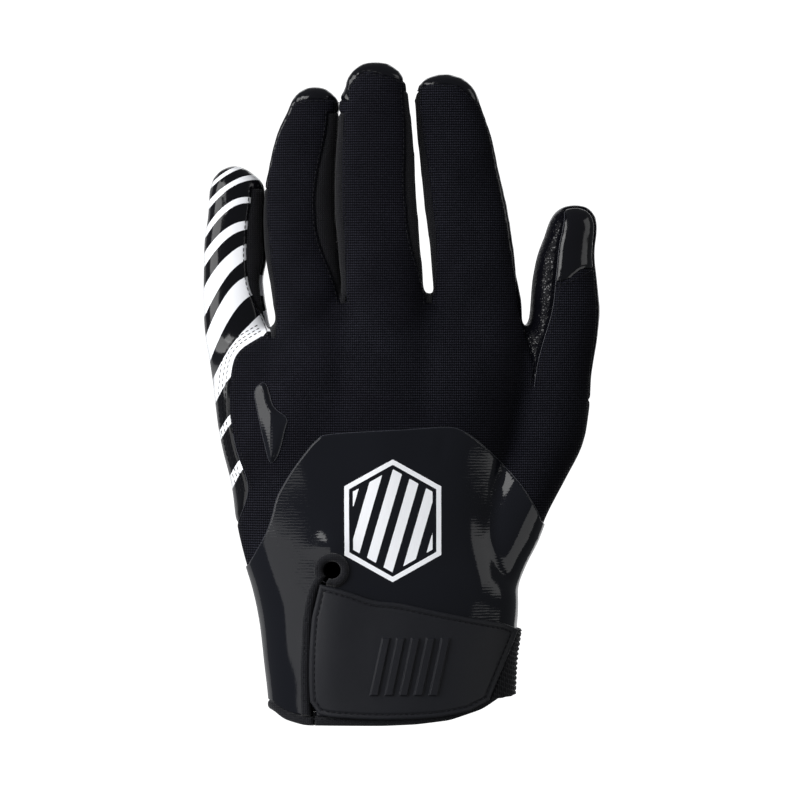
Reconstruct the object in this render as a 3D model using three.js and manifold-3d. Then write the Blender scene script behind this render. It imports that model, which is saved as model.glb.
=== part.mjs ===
// Receiver glove for the left hand, held open as if worn. Millimetres, +Z towards the finger tips,
// -Y out of the back of the hand, +X towards the thumb, origin at the middle of the wrist opening.
import * as THREE from 'three';
import { mergeVertices } from 'three/addons/utils/BufferGeometryUtils.js';
import Module from 'manifold-3d';

const wasm = await Module();
wasm.setup();

// Driving sizes.
const hand = { length: 137.4, width: 103, depth: 36 };
const wall = 1.5;
const clearance = 0.3;
const patchThickness = 0.7;
const bindingThickness = 1.0;
const strapThickness = 2.0;
const elasticThickness = 1.4;
const ribHeight = 0.8;
const slitWidth = 1.4;
const slitBindingWidth = 3.0;
const keyholeRadius = 2.1;
const cuffBindingHeight = 3.0;
const cuffBindingProud = 0.5;
const cuffDip = 12;
const sideWallLap = 3.5;

// How far a cut runs past the silhouette, and past the glove altogether.
const outside = 0.12 * hand.width;
const reach = 0.9 * hand.width;

// How full a section is, 2 being an ellipse, and how blunt a finger tip is.
const fullness = 2.3;
const tipBluntness = 0.75;
const tipFlat = 0.35;
const tipDroop = 0.04;
const facetCount = { hand: 32, digit: 14, thumb: 18 };
const insideFacetCount = { hand: 22, digit: 10, thumb: 12 };
const tipSteps = 3;
const mergeTolerance = 0.06;

// Sections of the hand: up is a share of the hand length, across and wide of its width,
// deep of its depth.
const handRows = [
  { up: -0.05, across: 0.026, wide: 0.772, deep: 1.25 },
  { up: 0.054, across: 0.028, wide: 0.786, deep: 1.278 },
  { up: 0.153, across: 0.024, wide: 0.807, deep: 1.306 },
  { up: 0.252, across: 0.024, wide: 0.84, deep: 1.292 },
  { up: 0.327, across: 0.014, wide: 0.863, deep: 1.278 },
  { up: 0.411, across: -0.019, wide: 0.863, deep: 1.222 },
  { up: 0.5, across: -0.042, wide: 0.87, deep: 1.167 },
  { up: 0.589, across: -0.045, wide: 0.895, deep: 1.111 },
  { up: 0.678, across: -0.047, wide: 0.952, deep: 1.069 },
  { up: 0.772, across: -0.044, wide: 0.999, deep: 1.028 },
  { up: 0.856, across: -0.036, wide: 1.023, deep: 0.944 },
  { up: 0.921, across: -0.017, wide: 0.977, deep: 0.806 },
  { up: 0.965, across: 0.033, wide: 0.852, deep: 0.611 },
  { up: 1.005, across: 0.083, wide: 0.7, deep: 0.389 },
];

// Each digit grows from a root inside the hand. In its rows, along is a share of its length, side and
// wide of its width, palmward and deep of its depth.
const digits = {
  little: {
    length: 90.1, width: 22.1, depth: 18, root: { across: -0.456, up: 0.723 },
    kind: 'digit',
    rows: [
      { along: 0, side: -0.02, wide: 0.63, palmward: 0.33, deep: 1.03 },
      { along: 0.151, side: 0, wide: 0.89, palmward: 0.33, deep: 1.07 },
      { along: 0.264, side: -0.02, wide: 0.99, palmward: 0.34, deep: 1.07 },
      { along: 0.355, side: -0.07, wide: 1.03, palmward: 0.37, deep: 1.03 },
      { along: 0.491, side: -0.13, wide: 0.965, palmward: 0.42, deep: 1.0 },
      { along: 0.626, side: -0.158, wide: 0.9, palmward: 0.45, deep: 0.98 },
      { along: 0.717, side: -0.165, wide: 0.865, palmward: 0.47, deep: 0.96 },
      { along: 0.808, side: -0.148, wide: 0.785, palmward: 0.48, deep: 0.94 },
      { along: 0.891, side: -0.135, wide: 0.775, palmward: 0.51, deep: 0.9 },
    ],
  },
  ring: {
    length: 107.1, width: 25.8, depth: 17, root: { across: -0.234, up: 0.797 },
    kind: 'digit',
    rows: [
      { along: 0, side: -0.033, wide: 0.88, palmward: 0.12, deep: 1.24 },
      { along: 0.159, side: -0.016, wide: 0.835, palmward: 0.06, deep: 1.27 },
      { along: 0.302, side: -0.046, wide: 0.895, palmward: 0.13, deep: 1.12 },
      { along: 0.476, side: -0.119, wide: 0.935, palmward: 0.23, deep: 0.99 },
      { along: 0.61, side: -0.152, wide: 0.91, palmward: 0.3, deep: 0.94 },
      { along: 0.698, side: -0.135, wide: 0.875, palmward: 0.34, deep: 0.91 },
      { along: 0.794, side: -0.089, wide: 0.825, palmward: 0.39, deep: 0.88 },
      { along: 0.873, side: -0.023, wide: 0.745, palmward: 0.46, deep: 0.85 },
      { along: 0.914, side: 0.026, wide: 0.66, palmward: 0.51, deep: 0.82 },
    ],
  },
  middle: {
    length: 115.3, width: 28.6, depth: 17, root: { across: 0.017, up: 0.797 },
    kind: 'digit',
    rows: [
      { along: 0, side: 0.018, wide: 0.94, palmward: -0.06, deep: 1.35 },
      { along: 0.147, side: 0.012, wide: 0.975, palmward: -0.12, deep: 1.34 },
      { along: 0.28, side: 0.006, wide: 0.965, palmward: -0.08, deep: 1.18 },
      { along: 0.442, side: -0.056, wide: 0.945, palmward: 0, deep: 1.01 },
      { along: 0.566, side: -0.095, wide: 0.95, palmward: 0.06, deep: 0.94 },
      { along: 0.649, side: -0.107, wide: 0.925, palmward: 0.11, deep: 0.92 },
      { along: 0.737, side: -0.107, wide: 0.9, palmward: 0.16, deep: 0.9 },
      { along: 0.841, side: -0.113, wide: 0.83, palmward: 0.24, deep: 0.88 },
      { along: 0.897, side: -0.119, wide: 0.785, palmward: 0.28, deep: 0.86 },
    ],
  },
  index: {
    length: 111.2, width: 29, depth: 17, root: { across: 0.317, up: 0.797 },
    kind: 'digit',
    rows: [
      { along: 0, side: 0, wide: 1.01, palmward: 0.06, deep: 1.33 },
      { along: 0.153, side: 0.029, wide: 1.065, palmward: 0, deep: 1.29 },
      { along: 0.291, side: 0, wide: 1.055, palmward: 0.06, deep: 1.18 },
      { along: 0.459, side: -0.059, wide: 0.995, palmward: 0.18, deep: 1.02 },
      { along: 0.587, side: -0.129, wide: 0.985, palmward: 0.26, deep: 0.95 },
      { along: 0.703, side: -0.202, wide: 0.93, palmward: 0.35, deep: 0.92 },
      { along: 0.81, side: -0.267, wide: 0.885, palmward: 0.42, deep: 0.89 },
      { along: 0.905, side: -0.346, wide: 0.785, palmward: 0.49, deep: 0.86 },
    ],
  },
  thumb: {
    length: 141.4, width: 25, depth: 23, root: { across: 0.34, up: 0.252 },
    kind: 'thumb',
    rows: [
      { along: 0, side: -0.03, wide: 0.82, palmward: 0.09, deep: 0.96 },
      { along: 0.077, side: -0.014, wide: 0.9, palmward: 0.09, deep: 1.04 },
      { along: 0.135, side: 0.088, wide: 0.94, palmward: 0.09, deep: 1.09 },
      { along: 0.192, side: 0.218, wide: 1.005, palmward: 0.1, deep: 1.11 },
      { along: 0.25, side: 0.333, wide: 1.02, palmward: 0.11, deep: 1.13 },
      { along: 0.337, side: 0.571, wide: 1.06, palmward: 0.13, deep: 1.13 },
      { along: 0.423, side: 0.789, wide: 1.115, palmward: 0.16, deep: 1.1 },
      { along: 0.505, side: 0.894, wide: 1.08, palmward: 0.18, deep: 1.08 },
      { along: 0.596, side: 0.979, wide: 0.98, palmward: 0.2, deep: 1.04 },
      { along: 0.673, side: 1.057, wide: 0.97, palmward: 0.23, deep: 1.0 },
      { along: 0.74, side: 1.098, wide: 0.96, palmward: 0.25, deep: 0.96 },
      { along: 0.817, side: 1.098, wide: 0.89, palmward: 0.27, deep: 0.9 },
      { along: 0.885, side: 1.122, wide: 0.775, palmward: 0.3, deep: 0.83 },
      { along: 0.933, side: 1.193, wide: 0.7, palmward: 0.33, deep: 0.78 },
    ],
  },
};

// The side seam between back and palm: up is a share of the hand length, palmward of its depth.
const sideSeam = [
  { up: -0.3, palmward: 0 },
  { up: 0.7, palmward: 0 },
  { up: 1.05, palmward: 0.02 },
  { up: 1.17, palmward: 0.07 },
  { up: 1.35, palmward: 0.13 },
  { up: 1.6, palmward: 0.19 },
  { up: 1.9, palmward: 0.24 },
];

// Outlines on the hand: across is a share of its width, up of its length.
const littleSeam = [
  { across: -0.393, up: 0.958 },
  { across: -0.465, up: 0.921 },
  { across: -0.492, up: 0.871 },
  { across: -0.498, up: 0.772 },
  { across: -0.487, up: 0.715 },
  { across: -0.472, up: 0.666 },
  { across: -0.436, up: 0.579 },
  { across: -0.472, up: 0.495 },
];
const patchTop = [
  { across: -0.429, up: 0.396 },
  { across: -0.378, up: 0.463 },
  { across: -0.353, up: 0.515 },
  { across: -0.337, up: 0.559 },
  { across: -0.294, up: 0.616 },
  { across: -0.251, up: 0.661 },
  { across: -0.208, up: 0.698 },
  { across: -0.158, up: 0.713 },
  { across: 0.086, up: 0.724 },
  { across: 0.211, up: 0.73 },
  { across: 0.261, up: 0.723 },
  { across: 0.314, up: 0.698 },
  { across: 0.38, up: 0.653 },
  { across: 0.456, up: 0.592 },
  { across: 0.505, up: 0.535 },
  { across: 0.523, up: 0.502 },
];
const insetOutline = [
  { across: -0.386, up: 0.839 },
  { across: -0.412, up: 0.817 },
  { across: -0.4, up: 0.76 },
  { across: -0.38, up: 0.693 },
  { across: -0.36, up: 0.644 },
  { across: -0.333, up: 0.666 },
  { across: -0.314, up: 0.723 },
  { across: -0.307, up: 0.752 },
  { across: -0.35, up: 0.78 },
  { across: -0.368, up: 0.824 },
];
const strapTop = [
  { across: -0.191, up: 0.347 },
  { across: -0.102, up: 0.327 },
  { across: -0.02, up: 0.307 },
  { across: 0.063, up: 0.3 },
  { across: 0.172, up: 0.282 },
  { across: 0.28, up: 0.265 },
  { across: 0.389, up: 0.25 },
];
const strapEnd = { top: { across: 0.428, up: 0.236 }, bottom: { across: 0.34, up: 0.062 } };
const elasticEnd = { across: 0.6, top: 0.225, bottom: 0.088 };
const strapBottom = [
  { across: 0.28, up: 0.037 },
  { across: 0.172, up: 0.022 },
  { across: 0.007, up: 0.017 },
  { across: -0.142, up: 0.022 },
  { across: -0.195, up: 0.03 },
];
const strapLeft = [
  { across: -0.209, up: 0.06 },
  { across: -0.212, up: 0.12 },
  { across: -0.209, up: 0.2 },
  { across: -0.203, up: 0.265 },
];
const slitPath = [
  { across: -0.158, up: 0.381 },
  { across: -0.195, up: 0.33 },
  { across: -0.213, up: 0.26 },
  { across: -0.218, up: 0.18 },
  { across: -0.22, up: 0.1 },
  { across: -0.213, up: -0.1 },
];

// The cuff edge: across is a share of the hand width, dip of the cuff dip below the thumb side.
const cuffEdge = [
  { across: -0.7, dip: 0.5 },
  { across: -0.353, dip: 0.42 },
  { across: -0.32, dip: 0.16 },
  { across: -0.25, dip: 0 },
  { across: 0.007, dip: 0 },
  { across: 0.115, dip: 0.04 },
  { across: 0.225, dip: 0.15 },
  { across: 0.333, dip: 0.45 },
  { across: 0.426, dip: 0.97 },
  { across: 0.7, dip: 1.2 },
];

// Side walls between two digits: the insets of their seams are shares of each digit's width, the foot
// of the wall is a share of the hand length and its top a share of the digit's length.
const sideWalls = [
  { left: 'little', right: 'ring', leftInset: 0.15, rightInset: 0.06, foot: 0.945 },
  { left: 'ring', right: 'middle', leftInset: 0.16, rightInset: 0.04, foot: 0.985 },
  { left: 'middle', right: 'index', leftInset: 0.11, rightInset: 0.1, foot: 0.985 },
];
const sideWallTop = 0.91;

// Lower edges of the grip where it wraps over each tip: along is a share of the digit's length and
// side of its width, measured from its middle.
const tipWraps = {
  ring: [
    { side: -0.42, along: 0.93 }, { side: -0.15, along: 0.956 }, { side: 0.2, along: 0.956 },
    { side: 0.42, along: 0.948 },
  ],
  middle: [
    { side: -0.42, along: 0.9 }, { side: -0.15, along: 0.966 }, { side: 0.15, along: 0.955 },
    { side: 0.42, along: 0.935 },
  ],
  index: [
    { side: -0.42, along: 0.935 }, { side: -0.25, along: 0.962 }, { side: 0.15, along: 0.965 },
    { side: 0.42, along: 0.905 },
  ],
};

// Thumb seam and tip seam: along is a share of the thumb's length, side of its width from its root.
const thumbSeam = [
  { side: 1.086, along: 1.05 },
  { side: 1.086, along: 0.966 },
  { side: 1.02, along: 0.901 },
  { side: 0.979, along: 0.832 },
  { side: 0.938, along: 0.762 },
  { side: 0.884, along: 0.719 },
  { side: 0.802, along: 0.673 },
  { side: 0.721, along: 0.618 },
  { side: 0.67, along: 0.56 },
];
const indexSideSeam = [
  { across: 0.5, up: 0.885 },
  { across: 0.474, up: 0.97 },
  { across: 0.45, up: 1.04 },
];
const thumbTipSeam = [
  { side: 0.95, along: 0.812 },
  { side: 1.143, along: 0.82 },
  { side: 1.415, along: 0.846 },
  { side: 2.2, along: 0.842 },
];
const thumbBaseSeam = { side: 2.2, along: 0.5 };

// Moulded ribs of the strap, inside a block of this size.
const ribBlock = { across: 0.092, up: 0.146, width: 24, height: 19, count: 5, share: 0.52, lean: 4 };

const onHand = ({ across, up }) => new THREE.Vector2(across * hand.width, up * hand.length);
const rootOf = (digit) => onHand(digit.root);

function onDigit(digit, { side, along }) {
  const root = rootOf(digit);
  return new THREE.Vector2(root.x + side * digit.width, root.y + along * digit.length);
}

function handSections(grow) {
  const last = handRows.at(-1);
  const sections = handRows.map((row) => ({
    x: row.across * hand.width,
    y: 0,
    z: row.up * hand.length + (row === last ? grow : 0),
    halfWidth: (row.wide * hand.width) / 2 + grow,
    halfDepth: (row.deep * hand.depth) / 2 + grow,
  }));
  return { sections, tip: sections.at(-1) };
}

function digitSections(digit, grow) {
  const root = rootOf(digit);
  const sections = digit.rows.map((row) => ({
    x: root.x + row.side * digit.width,
    y: row.palmward * digit.depth,
    z: root.y + row.along * digit.length,
    halfWidth: (row.wide * digit.width) / 2 + grow,
    halfDepth: (row.deep * digit.depth) / 2 + grow,
  }));
  const last = sections.at(-1);
  const before = sections.at(-2);
  const rise = root.y + digit.length - last.z;
  const lean = (last.x - before.x) / (last.z - before.z);
  for (let step = 1; step <= tipSteps; step += 1) {
    const angle = (step / (tipSteps + tipFlat)) * (Math.PI / 2);
    const z = last.z + (rise + grow) * Math.sin(angle);
    const shrink = Math.cos(angle) ** tipBluntness;
    sections.push({
      x: last.x + (lean * (z - last.z)) / 2,
      y: last.y + (digit.depth * tipDroop * step) / tipSteps,
      z,
      halfWidth: last.halfWidth * shrink,
      halfDepth: last.halfDepth * shrink,
    });
  }
  const top = sections.at(-1);
  const tip = new THREE.Vector3(top.x, top.y, root.y + digit.length + grow);
  return { sections, tip };
}

function bulge(value) {
  return Math.sign(value) * Math.abs(value) ** (2 / fullness);
}

// A closed loft through level sections, ending in a flat foot and in a tip or a flat top.
function loft({ sections, tip }, count) {
  const corners = [];
  for (const section of sections) {
    for (let i = 0; i < count; i += 1) {
      const angle = (2 * Math.PI * i) / count;
      corners.push(
        section.x + section.halfWidth * bulge(Math.cos(angle)),
        section.y + section.halfDepth * bulge(Math.sin(angle)),
        section.z,
      );
    }
  }
  const foot = corners.length / 3;
  corners.push(sections[0].x, sections[0].y, sections[0].z);
  corners.push(tip.x, tip.y, tip.z);
  const faces = [];
  const lastRing = (sections.length - 1) * count;
  for (let i = 0; i < count; i += 1) {
    const next = (i + 1) % count;
    faces.push(foot, next, i);
    faces.push(foot + 1, lastRing + i, lastRing + next);
    for (let ring = 0; ring < lastRing; ring += count) {
      faces.push(ring + i, ring + next, ring + count + next);
      faces.push(ring + i, ring + count + next, ring + count + i);
    }
  }
  const geometry = new THREE.BufferGeometry();
  geometry.setAttribute('position', new THREE.Float32BufferAttribute(corners, 3));
  geometry.setIndex(faces);
  return toSolid(geometry);
}

function toSolid(geometry) {
  const bare = geometry.clone();
  bare.deleteAttribute('normal');
  bare.deleteAttribute('uv');
  const merged = mergeVertices(bare, 1e-4);
  return new wasm.Manifold(new wasm.Mesh({
    numProp: 3,
    vertProperties: new Float32Array(merged.attributes.position.array),
    triVerts: new Uint32Array(merged.index.array),
  }));
}

const joined = (solids) => solids.reduce((all, solid) => all.add(solid));

// Hand and digits as one closed form, grown outwards by a distance or inwards by a negative one.
const forms = new Map();
function gloveForm(grow) {
  if (!forms.has(grow)) {
    const count = grow < 0 ? insideFacetCount : facetCount;
    const lofts = Object.values(digits).map((digit) => loft(digitSections(digit, grow), count[digit.kind]));
    forms.set(grow, joined([handForm(grow), ...lofts]));
  }
  return forms.get(grow);
}

function handForm(grow) {
  return loft(handSections(grow), grow < 0 ? insideFacetCount.hand : facetCount.hand);
}

// Moves a closed outline outwards by a distance, with mitred corners.
function offset(outline, distance) {
  const turn = THREE.ShapeUtils.isClockWise(outline) ? 1 : -1;
  return outline.map((point, i) => {
    const before = outline.at(i - 1);
    const after = outline[(i + 1) % outline.length];
    const inward = point.clone().sub(before).normalize();
    const onward = after.clone().sub(point).normalize();
    const normal = new THREE.Vector2(-inward.y - onward.y, inward.x + onward.x).normalize();
    const mitre = Math.max(0.35, -normal.x * inward.y + normal.y * inward.x);
    return point.clone().addScaledVector(normal, (turn * distance) / mitre);
  });
}

// A block whose outline is seen from the back of the hand, between two depths.
function block(outline, from = -reach, to = reach) {
  const shape = new THREE.Shape(outline);
  const geometry = new THREE.ExtrudeGeometry(shape, { depth: to - from, bevelEnabled: false });
  const side = new THREE.Vector3(1, 0, 0);
  const up = new THREE.Vector3(0, 0, 1);
  const out = new THREE.Vector3(0, -1, 0);
  geometry.applyMatrix4(new THREE.Matrix4().makeBasis(side, up, out));
  geometry.translate(0, to, 0);
  return toSolid(geometry);
}

// Everything on the palm side of the side seam, moved towards the back by a distance.
function palmHalf(move = 0) {
  const outline = sideSeam.map((row) => new THREE.Vector2(
    row.palmward * hand.depth - move,
    row.up * hand.length,
  ));
  outline.push(new THREE.Vector2(reach, sideSeam.at(-1).up * hand.length));
  outline.push(new THREE.Vector2(reach, sideSeam[0].up * hand.length));
  const shape = new THREE.Shape(outline);
  const geometry = new THREE.ExtrudeGeometry(shape, { depth: 4 * reach, bevelEnabled: false });
  const palmward = new THREE.Vector3(0, 1, 0);
  const up = new THREE.Vector3(0, 0, 1);
  const side = new THREE.Vector3(1, 0, 0);
  geometry.applyMatrix4(new THREE.Matrix4().makeBasis(palmward, up, side));
  geometry.translate(-2 * reach, 0, 0);
  return toSolid(geometry);
}

function mix(a, b, share) {
  return a + (b - a) * share;
}

// The left or right edge of a digit at a height, side being -1 or 1.
function edgeOf(digit, side, z) {
  const { sections } = digitSections(digit, 0);
  const edge = (section) => section.x + side * section.halfWidth;
  const upper = sections.findIndex((section) => section.z >= z);
  if (upper < 0) {
    return edge(sections.at(-1));
  }
  if (upper === 0) {
    return edge(sections[0]);
  }
  const low = sections[upper - 1];
  const high = sections[upper];
  return mix(edge(low), edge(high), (z - low.z) / (high.z - low.z));
}

const tipOf = (digit) => rootOf(digit).y + digit.length;

// The middle line of the gap between two neighbouring digits, from below their crotch upwards.
function gapLine(left, right, from, to) {
  const steps = 6;
  return Array.from({ length: steps + 1 }, (_, i) => {
    const z = mix(from, to, i / steps);
    const rightEdge = edgeOf(right, -1, z);
    const leftEdge = z < tipOf(left) ? edgeOf(left, 1, z) : rightEdge - outside / 4;
    return new THREE.Vector2((leftEdge + rightEdge) / 2, z);
  });
}

// The wrap zone over a tip, on the back of the digit.
function wrapOutline(name) {
  const digit = digits[name];
  const lean = digitSections(digit, 0).tip.x - rootOf(digit).x;
  const lower = tipWraps[name].map((row) => onDigit(digit, row).add(new THREE.Vector2(lean, 0)));
  const top = tipOf(digit) + outside;
  return [
    ...lower,
    new THREE.Vector2(lower.at(-1).x, top),
    new THREE.Vector2(lower[0].x, top),
  ];
}

// One flank of a side wall: a strip from the seam on the digit to the middle of the gap.
function flankOutline(wallRow, side) {
  const left = digits[wallRow.left];
  const right = digits[wallRow.right];
  const digit = side > 0 ? left : right;
  const inset = (side > 0 ? wallRow.leftInset : wallRow.rightInset) * digit.width;
  const foot = wallRow.foot * hand.length;
  const top = rootOf(digit).y + sideWallTop * digit.length;
  const middle = gapLine(left, right, foot, top);
  const seam = middle.map(({ y }) => new THREE.Vector2(edgeOf(digit, side, y) - side * inset, y));
  const lap = side * clearance;
  return [...middle.map(({ x, y }) => new THREE.Vector2(x + lap, y)), ...seam.reverse()];
}

function ribbon(path, width, shift = 0) {
  const normals = path.map((point, i) => {
    const before = path[Math.max(i - 1, 0)];
    const after = path[Math.min(i + 1, path.length - 1)];
    const along = after.clone().sub(before).normalize();
    return new THREE.Vector2(-along.y, along.x);
  });
  const near = path.map((point, i) => point.clone().addScaledVector(normals[i], shift + width / 2));
  const far = path.map((point, i) => point.clone().addScaledVector(normals[i], shift - width / 2));
  return [...near, ...far.reverse()];
}

function circle(centre, radius, steps = 20) {
  return Array.from({ length: steps }, (_, i) => {
    const angle = (2 * Math.PI * i) / steps;
    return new THREE.Vector2(centre.x + radius * Math.cos(angle), centre.y + radius * Math.sin(angle));
  });
}

// Everything below the cuff edge, raised by a distance.
function belowCuff(raise = 0) {
  const edge = cuffEdge.map((row) => new THREE.Vector2(row.across * hand.width, row.dip * cuffDip + raise));
  const floor = -hand.length;
  return block([
    new THREE.Vector2(edge[0].x, floor),
    ...edge,
    new THREE.Vector2(edge.at(-1).x, floor),
  ]);
}

// A layer that follows the glove between two distances from it.
function layer(from, thickness) {
  return gloveForm(from + thickness).subtract(gloveForm(from));
}

const backHalf = (move = 0) => block([
  new THREE.Vector2(-2 * reach, -hand.length),
  new THREE.Vector2(2 * reach, -hand.length),
  new THREE.Vector2(2 * reach, 2 * hand.length),
  new THREE.Vector2(-2 * reach, 2 * hand.length),
]).subtract(palmHalf(move));

// The largest body of a cut piece; what is left besides it is trimmings at the seams.
function mainBody(solid) {
  return solid.simplify(mergeTolerance).decompose().sort((a, b) => b.volume() - a.volume())[0];
}

// The slit and its keyhole go through everything on the back of the cuff.
const slitPoints = slitPath.map(onHand);
const keyhole = slitPoints[0];
const slitCut = (grow = 0) => joined([
  block(ribbon(slitPoints, slitWidth + 2 * grow), -reach, 0),
  block(circle(keyhole, keyholeRadius + grow), -reach, 0),
]);

const shell = gloveForm(0)
  .subtract(gloveForm(-wall))
  .subtract(handForm(-wall))
  .subtract(belowCuff(cuffBindingHeight + clearance))
  .subtract(slitCut());

// Thumb: its tip cap, and its grip on the palm side and on the inner side of the seam.
const thumb = digits.thumb;
const thumbLine = thumbSeam.map((point) => onDigit(thumb, point));
const indexLine = indexSideSeam.map(onHand);
const baseCorner = onDigit(thumb, thumbBaseSeam);
const tipHeight = tipOf(thumb) + outside;
const baseHeight = thumbLine.at(-1).y;
const innerSide = new THREE.Vector2(indexLine.at(-1).x - outside, tipHeight);
const outerSide = new THREE.Vector2(baseCorner.x, tipHeight);

// Left of the thumb seam, right of the index finger's side seam, and above the foot of the thumb grip.
const leftOfThumbSeam = [
  ...thumbLine,
  new THREE.Vector2(innerSide.x, baseHeight),
  new THREE.Vector2(innerSide.x, thumbLine[0].y),
];
const rightOfIndexSeam = [
  new THREE.Vector2(indexLine[0].x, baseHeight - outside),
  ...indexLine,
  new THREE.Vector2(indexLine.at(-1).x, tipHeight),
  outerSide,
  new THREE.Vector2(outerSide.x, baseHeight - outside),
];
const aboveThumbFoot = [
  thumbLine.at(-1),
  baseCorner,
  outerSide,
  innerSide,
  new THREE.Vector2(innerSide.x, baseHeight),
];
const tipCapOutline = [
  ...thumbTipSeam.map((point) => onDigit(thumb, point)),
  outerSide,
  new THREE.Vector2(onDigit(thumb, thumbTipSeam[0]).x, tipHeight),
];
const thumbZone = (grow) => block(offset(rightOfIndexSeam, grow))
  .intersect(block(offset(aboveThumbFoot, grow)));
const thumbGripZone = (grow) => thumbZone(grow)
  .intersect(palmHalf(grow).add(block(offset(leftOfThumbSeam, grow))));
const tipCapZone = (grow) => block(offset(tipCapOutline, grow))
  .subtract(palmHalf(-grow))
  .subtract(block(offset(leftOfThumbSeam, clearance - grow)));

function sideWallZone(wallRow, grow) {
  const flanks = [1, -1].map((side) => block(offset(flankOutline(wallRow, side), grow)));
  return joined(flanks).subtract(palmHalf(-sideWallLap - grow));
}

// The little finger with the side of the hand below it, wrapped right round by one striped panel.
function littleOutline() {
  const little = digits.little;
  const seam = littleSeam.map(onHand);
  const top = tipOf(little) + outside;
  const gap = gapLine(little, digits.ring, seam[0].y, top);
  const far = seam.at(-1).x - outside * 3;
  return [
    ...gap.reverse(),
    ...seam,
    new THREE.Vector2(far, seam.at(-1).y - outside / 2),
    new THREE.Vector2(far, top),
  ];
}

const littleZone = (grow) => block(offset(littleOutline(), grow));
const palmZone = (grow) => joined([
  palmHalf(grow),
  ...['ring', 'middle', 'index'].map((name) => block(offset(wrapOutline(name), grow))),
]);

// Pieces cut from the shell in turn, each leaving a clearance to the next.
let rest = shell;
function take(zone) {
  const piece = rest.intersect(zone(0));
  rest = rest.subtract(zone(clearance));
  return mainBody(piece);
}

const pieces = new Map();
pieces.set('thumb_tip_cap', take(tipCapZone));
pieces.set('thumb_grip', take(thumbGripZone));
for (const row of sideWalls) {
  pieces.set(`side_wall_${row.left}_${row.right}`, take((grow) => sideWallZone(row, grow)));
}
pieces.set('little_finger_grip', take(littleZone));
pieces.set('palm_panel', take(palmZone));
pieces.set('back_panel', mainBody(rest));

// Film patch over the lower back of the hand, down to the cuff.
const patchEdge = patchTop.map(onHand);
const patchOutline = [
  ...patchEdge,
  new THREE.Vector2(patchEdge.at(-1).x + outside, patchEdge.at(-1).y - outside),
  new THREE.Vector2(patchEdge.at(-1).x + outside, -outside),
  new THREE.Vector2(patchEdge[0].x - outside, -outside),
  new THREE.Vector2(patchEdge[0].x - outside, patchEdge[0].y - outside),
];
const patchBase = clearance;
pieces.set('hand_patch', mainBody(layer(patchBase, patchThickness)
  .intersect(block(patchOutline))
  .intersect(backHalf())
  .subtract(belowCuff(cuffBindingHeight + clearance))
  .subtract(slitCut())));

pieces.set('knuckle_inset', mainBody(layer(patchBase, patchThickness)
  .intersect(block(insetOutline.map(onHand), -reach, 0))));

// Strap, its elastic and the slit binding lie on the patch.
const overPatch = patchBase + patchThickness + clearance;
const strapRight = [strapEnd.top, strapEnd.bottom].map(onHand);
const strapOutline = [
  ...strapTop.map(onHand),
  ...strapRight,
  ...strapBottom.map(onHand),
  ...strapLeft.map(onHand),
];
const strapBlock = (grow) => block(offset(strapOutline, grow), -reach, 0);

function ribOutlines() {
  const middle = onHand(ribBlock);
  const pitch = ribBlock.width / ribBlock.count;
  return Array.from({ length: ribBlock.count }, (_, i) => {
    const x = middle.x - ribBlock.width / 2 + (i + 0.5) * pitch;
    const half = (pitch * ribBlock.share) / 2;
    const foot = middle.y - ribBlock.height / 2;
    const head = middle.y + ribBlock.height / 2;
    const lean = ribBlock.lean / 2;
    return [
      new THREE.Vector2(x - half - lean, foot),
      new THREE.Vector2(x + half - lean, foot),
      new THREE.Vector2(x + half + lean, head),
      new THREE.Vector2(x - half + lean, head),
    ];
  });
}

const strapPlate = layer(overPatch, strapThickness).intersect(strapBlock(0));
const ribs = layer(overPatch, strapThickness + ribHeight)
  .intersect(joined(ribOutlines().map((outline) => block(outline, -reach, 0))));
pieces.set('strap', mainBody(strapPlate.add(ribs)));

const elasticOutline = [
  strapRight[0],
  new THREE.Vector2(elasticEnd.across * hand.width, elasticEnd.top * hand.length),
  new THREE.Vector2(elasticEnd.across * hand.width, elasticEnd.bottom * hand.length),
  strapRight[1],
];
pieces.set('strap_elastic', mainBody(layer(overPatch, elasticThickness)
  .intersect(block(elasticOutline))
  .subtract(strapBlock(clearance))));

const bindingShift = (slitWidth + slitBindingWidth) / 2;
const slitBindingZone = joined([
  block(ribbon(slitPoints, slitBindingWidth, bindingShift * slitSide()), -reach, 0),
  block(circle(keyhole, keyholeRadius + slitBindingWidth), -reach, 0),
]);

// The strip of the binding lies on the little finger's side of the slit.
function slitSide() {
  const along = slitPoints.at(-1).clone().sub(slitPoints[0]);
  return Math.sign(along.y);
}

pieces.set('slit_binding', mainBody(layer(overPatch, bindingThickness)
  .intersect(slitBindingZone)
  .subtract(slitCut())
  .subtract(strapBlock(clearance))
  .subtract(belowCuff(cuffBindingHeight + clearance))));

pieces.set('cuff_binding', mainBody(handForm(cuffBindingProud)
  .subtract(handForm(-wall - cuffBindingProud))
  .intersect(belowCuff(cuffBindingHeight))
  .subtract(belowCuff())
  .subtract(slitCut())));

// Finishes: knit, coated grip, film, rubber and elastic.
const finishes = {
  knit: { color: 0x101014, roughness: 0.85, metalness: 0 },
  grip: { color: 0x0a0a0d, roughness: 0.22, metalness: 0 },
  film: { color: 0x1a1c22, roughness: 0.3, metalness: 0 },
  rubber: { color: 0x17181c, roughness: 0.6, metalness: 0 },
  elastic: { color: 0x121216, roughness: 0.9, metalness: 0 },
};
const finishOf = {
  back_panel: 'knit',
  palm_panel: 'grip',
  little_finger_grip: 'grip',
  side_wall_little_ring: 'knit',
  side_wall_ring_middle: 'knit',
  side_wall_middle_index: 'knit',
  thumb_grip: 'grip',
  thumb_tip_cap: 'grip',
  hand_patch: 'film',
  knuckle_inset: 'film',
  slit_binding: 'rubber',
  strap: 'rubber',
  strap_elastic: 'elastic',
  cuff_binding: 'elastic',
};

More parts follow.
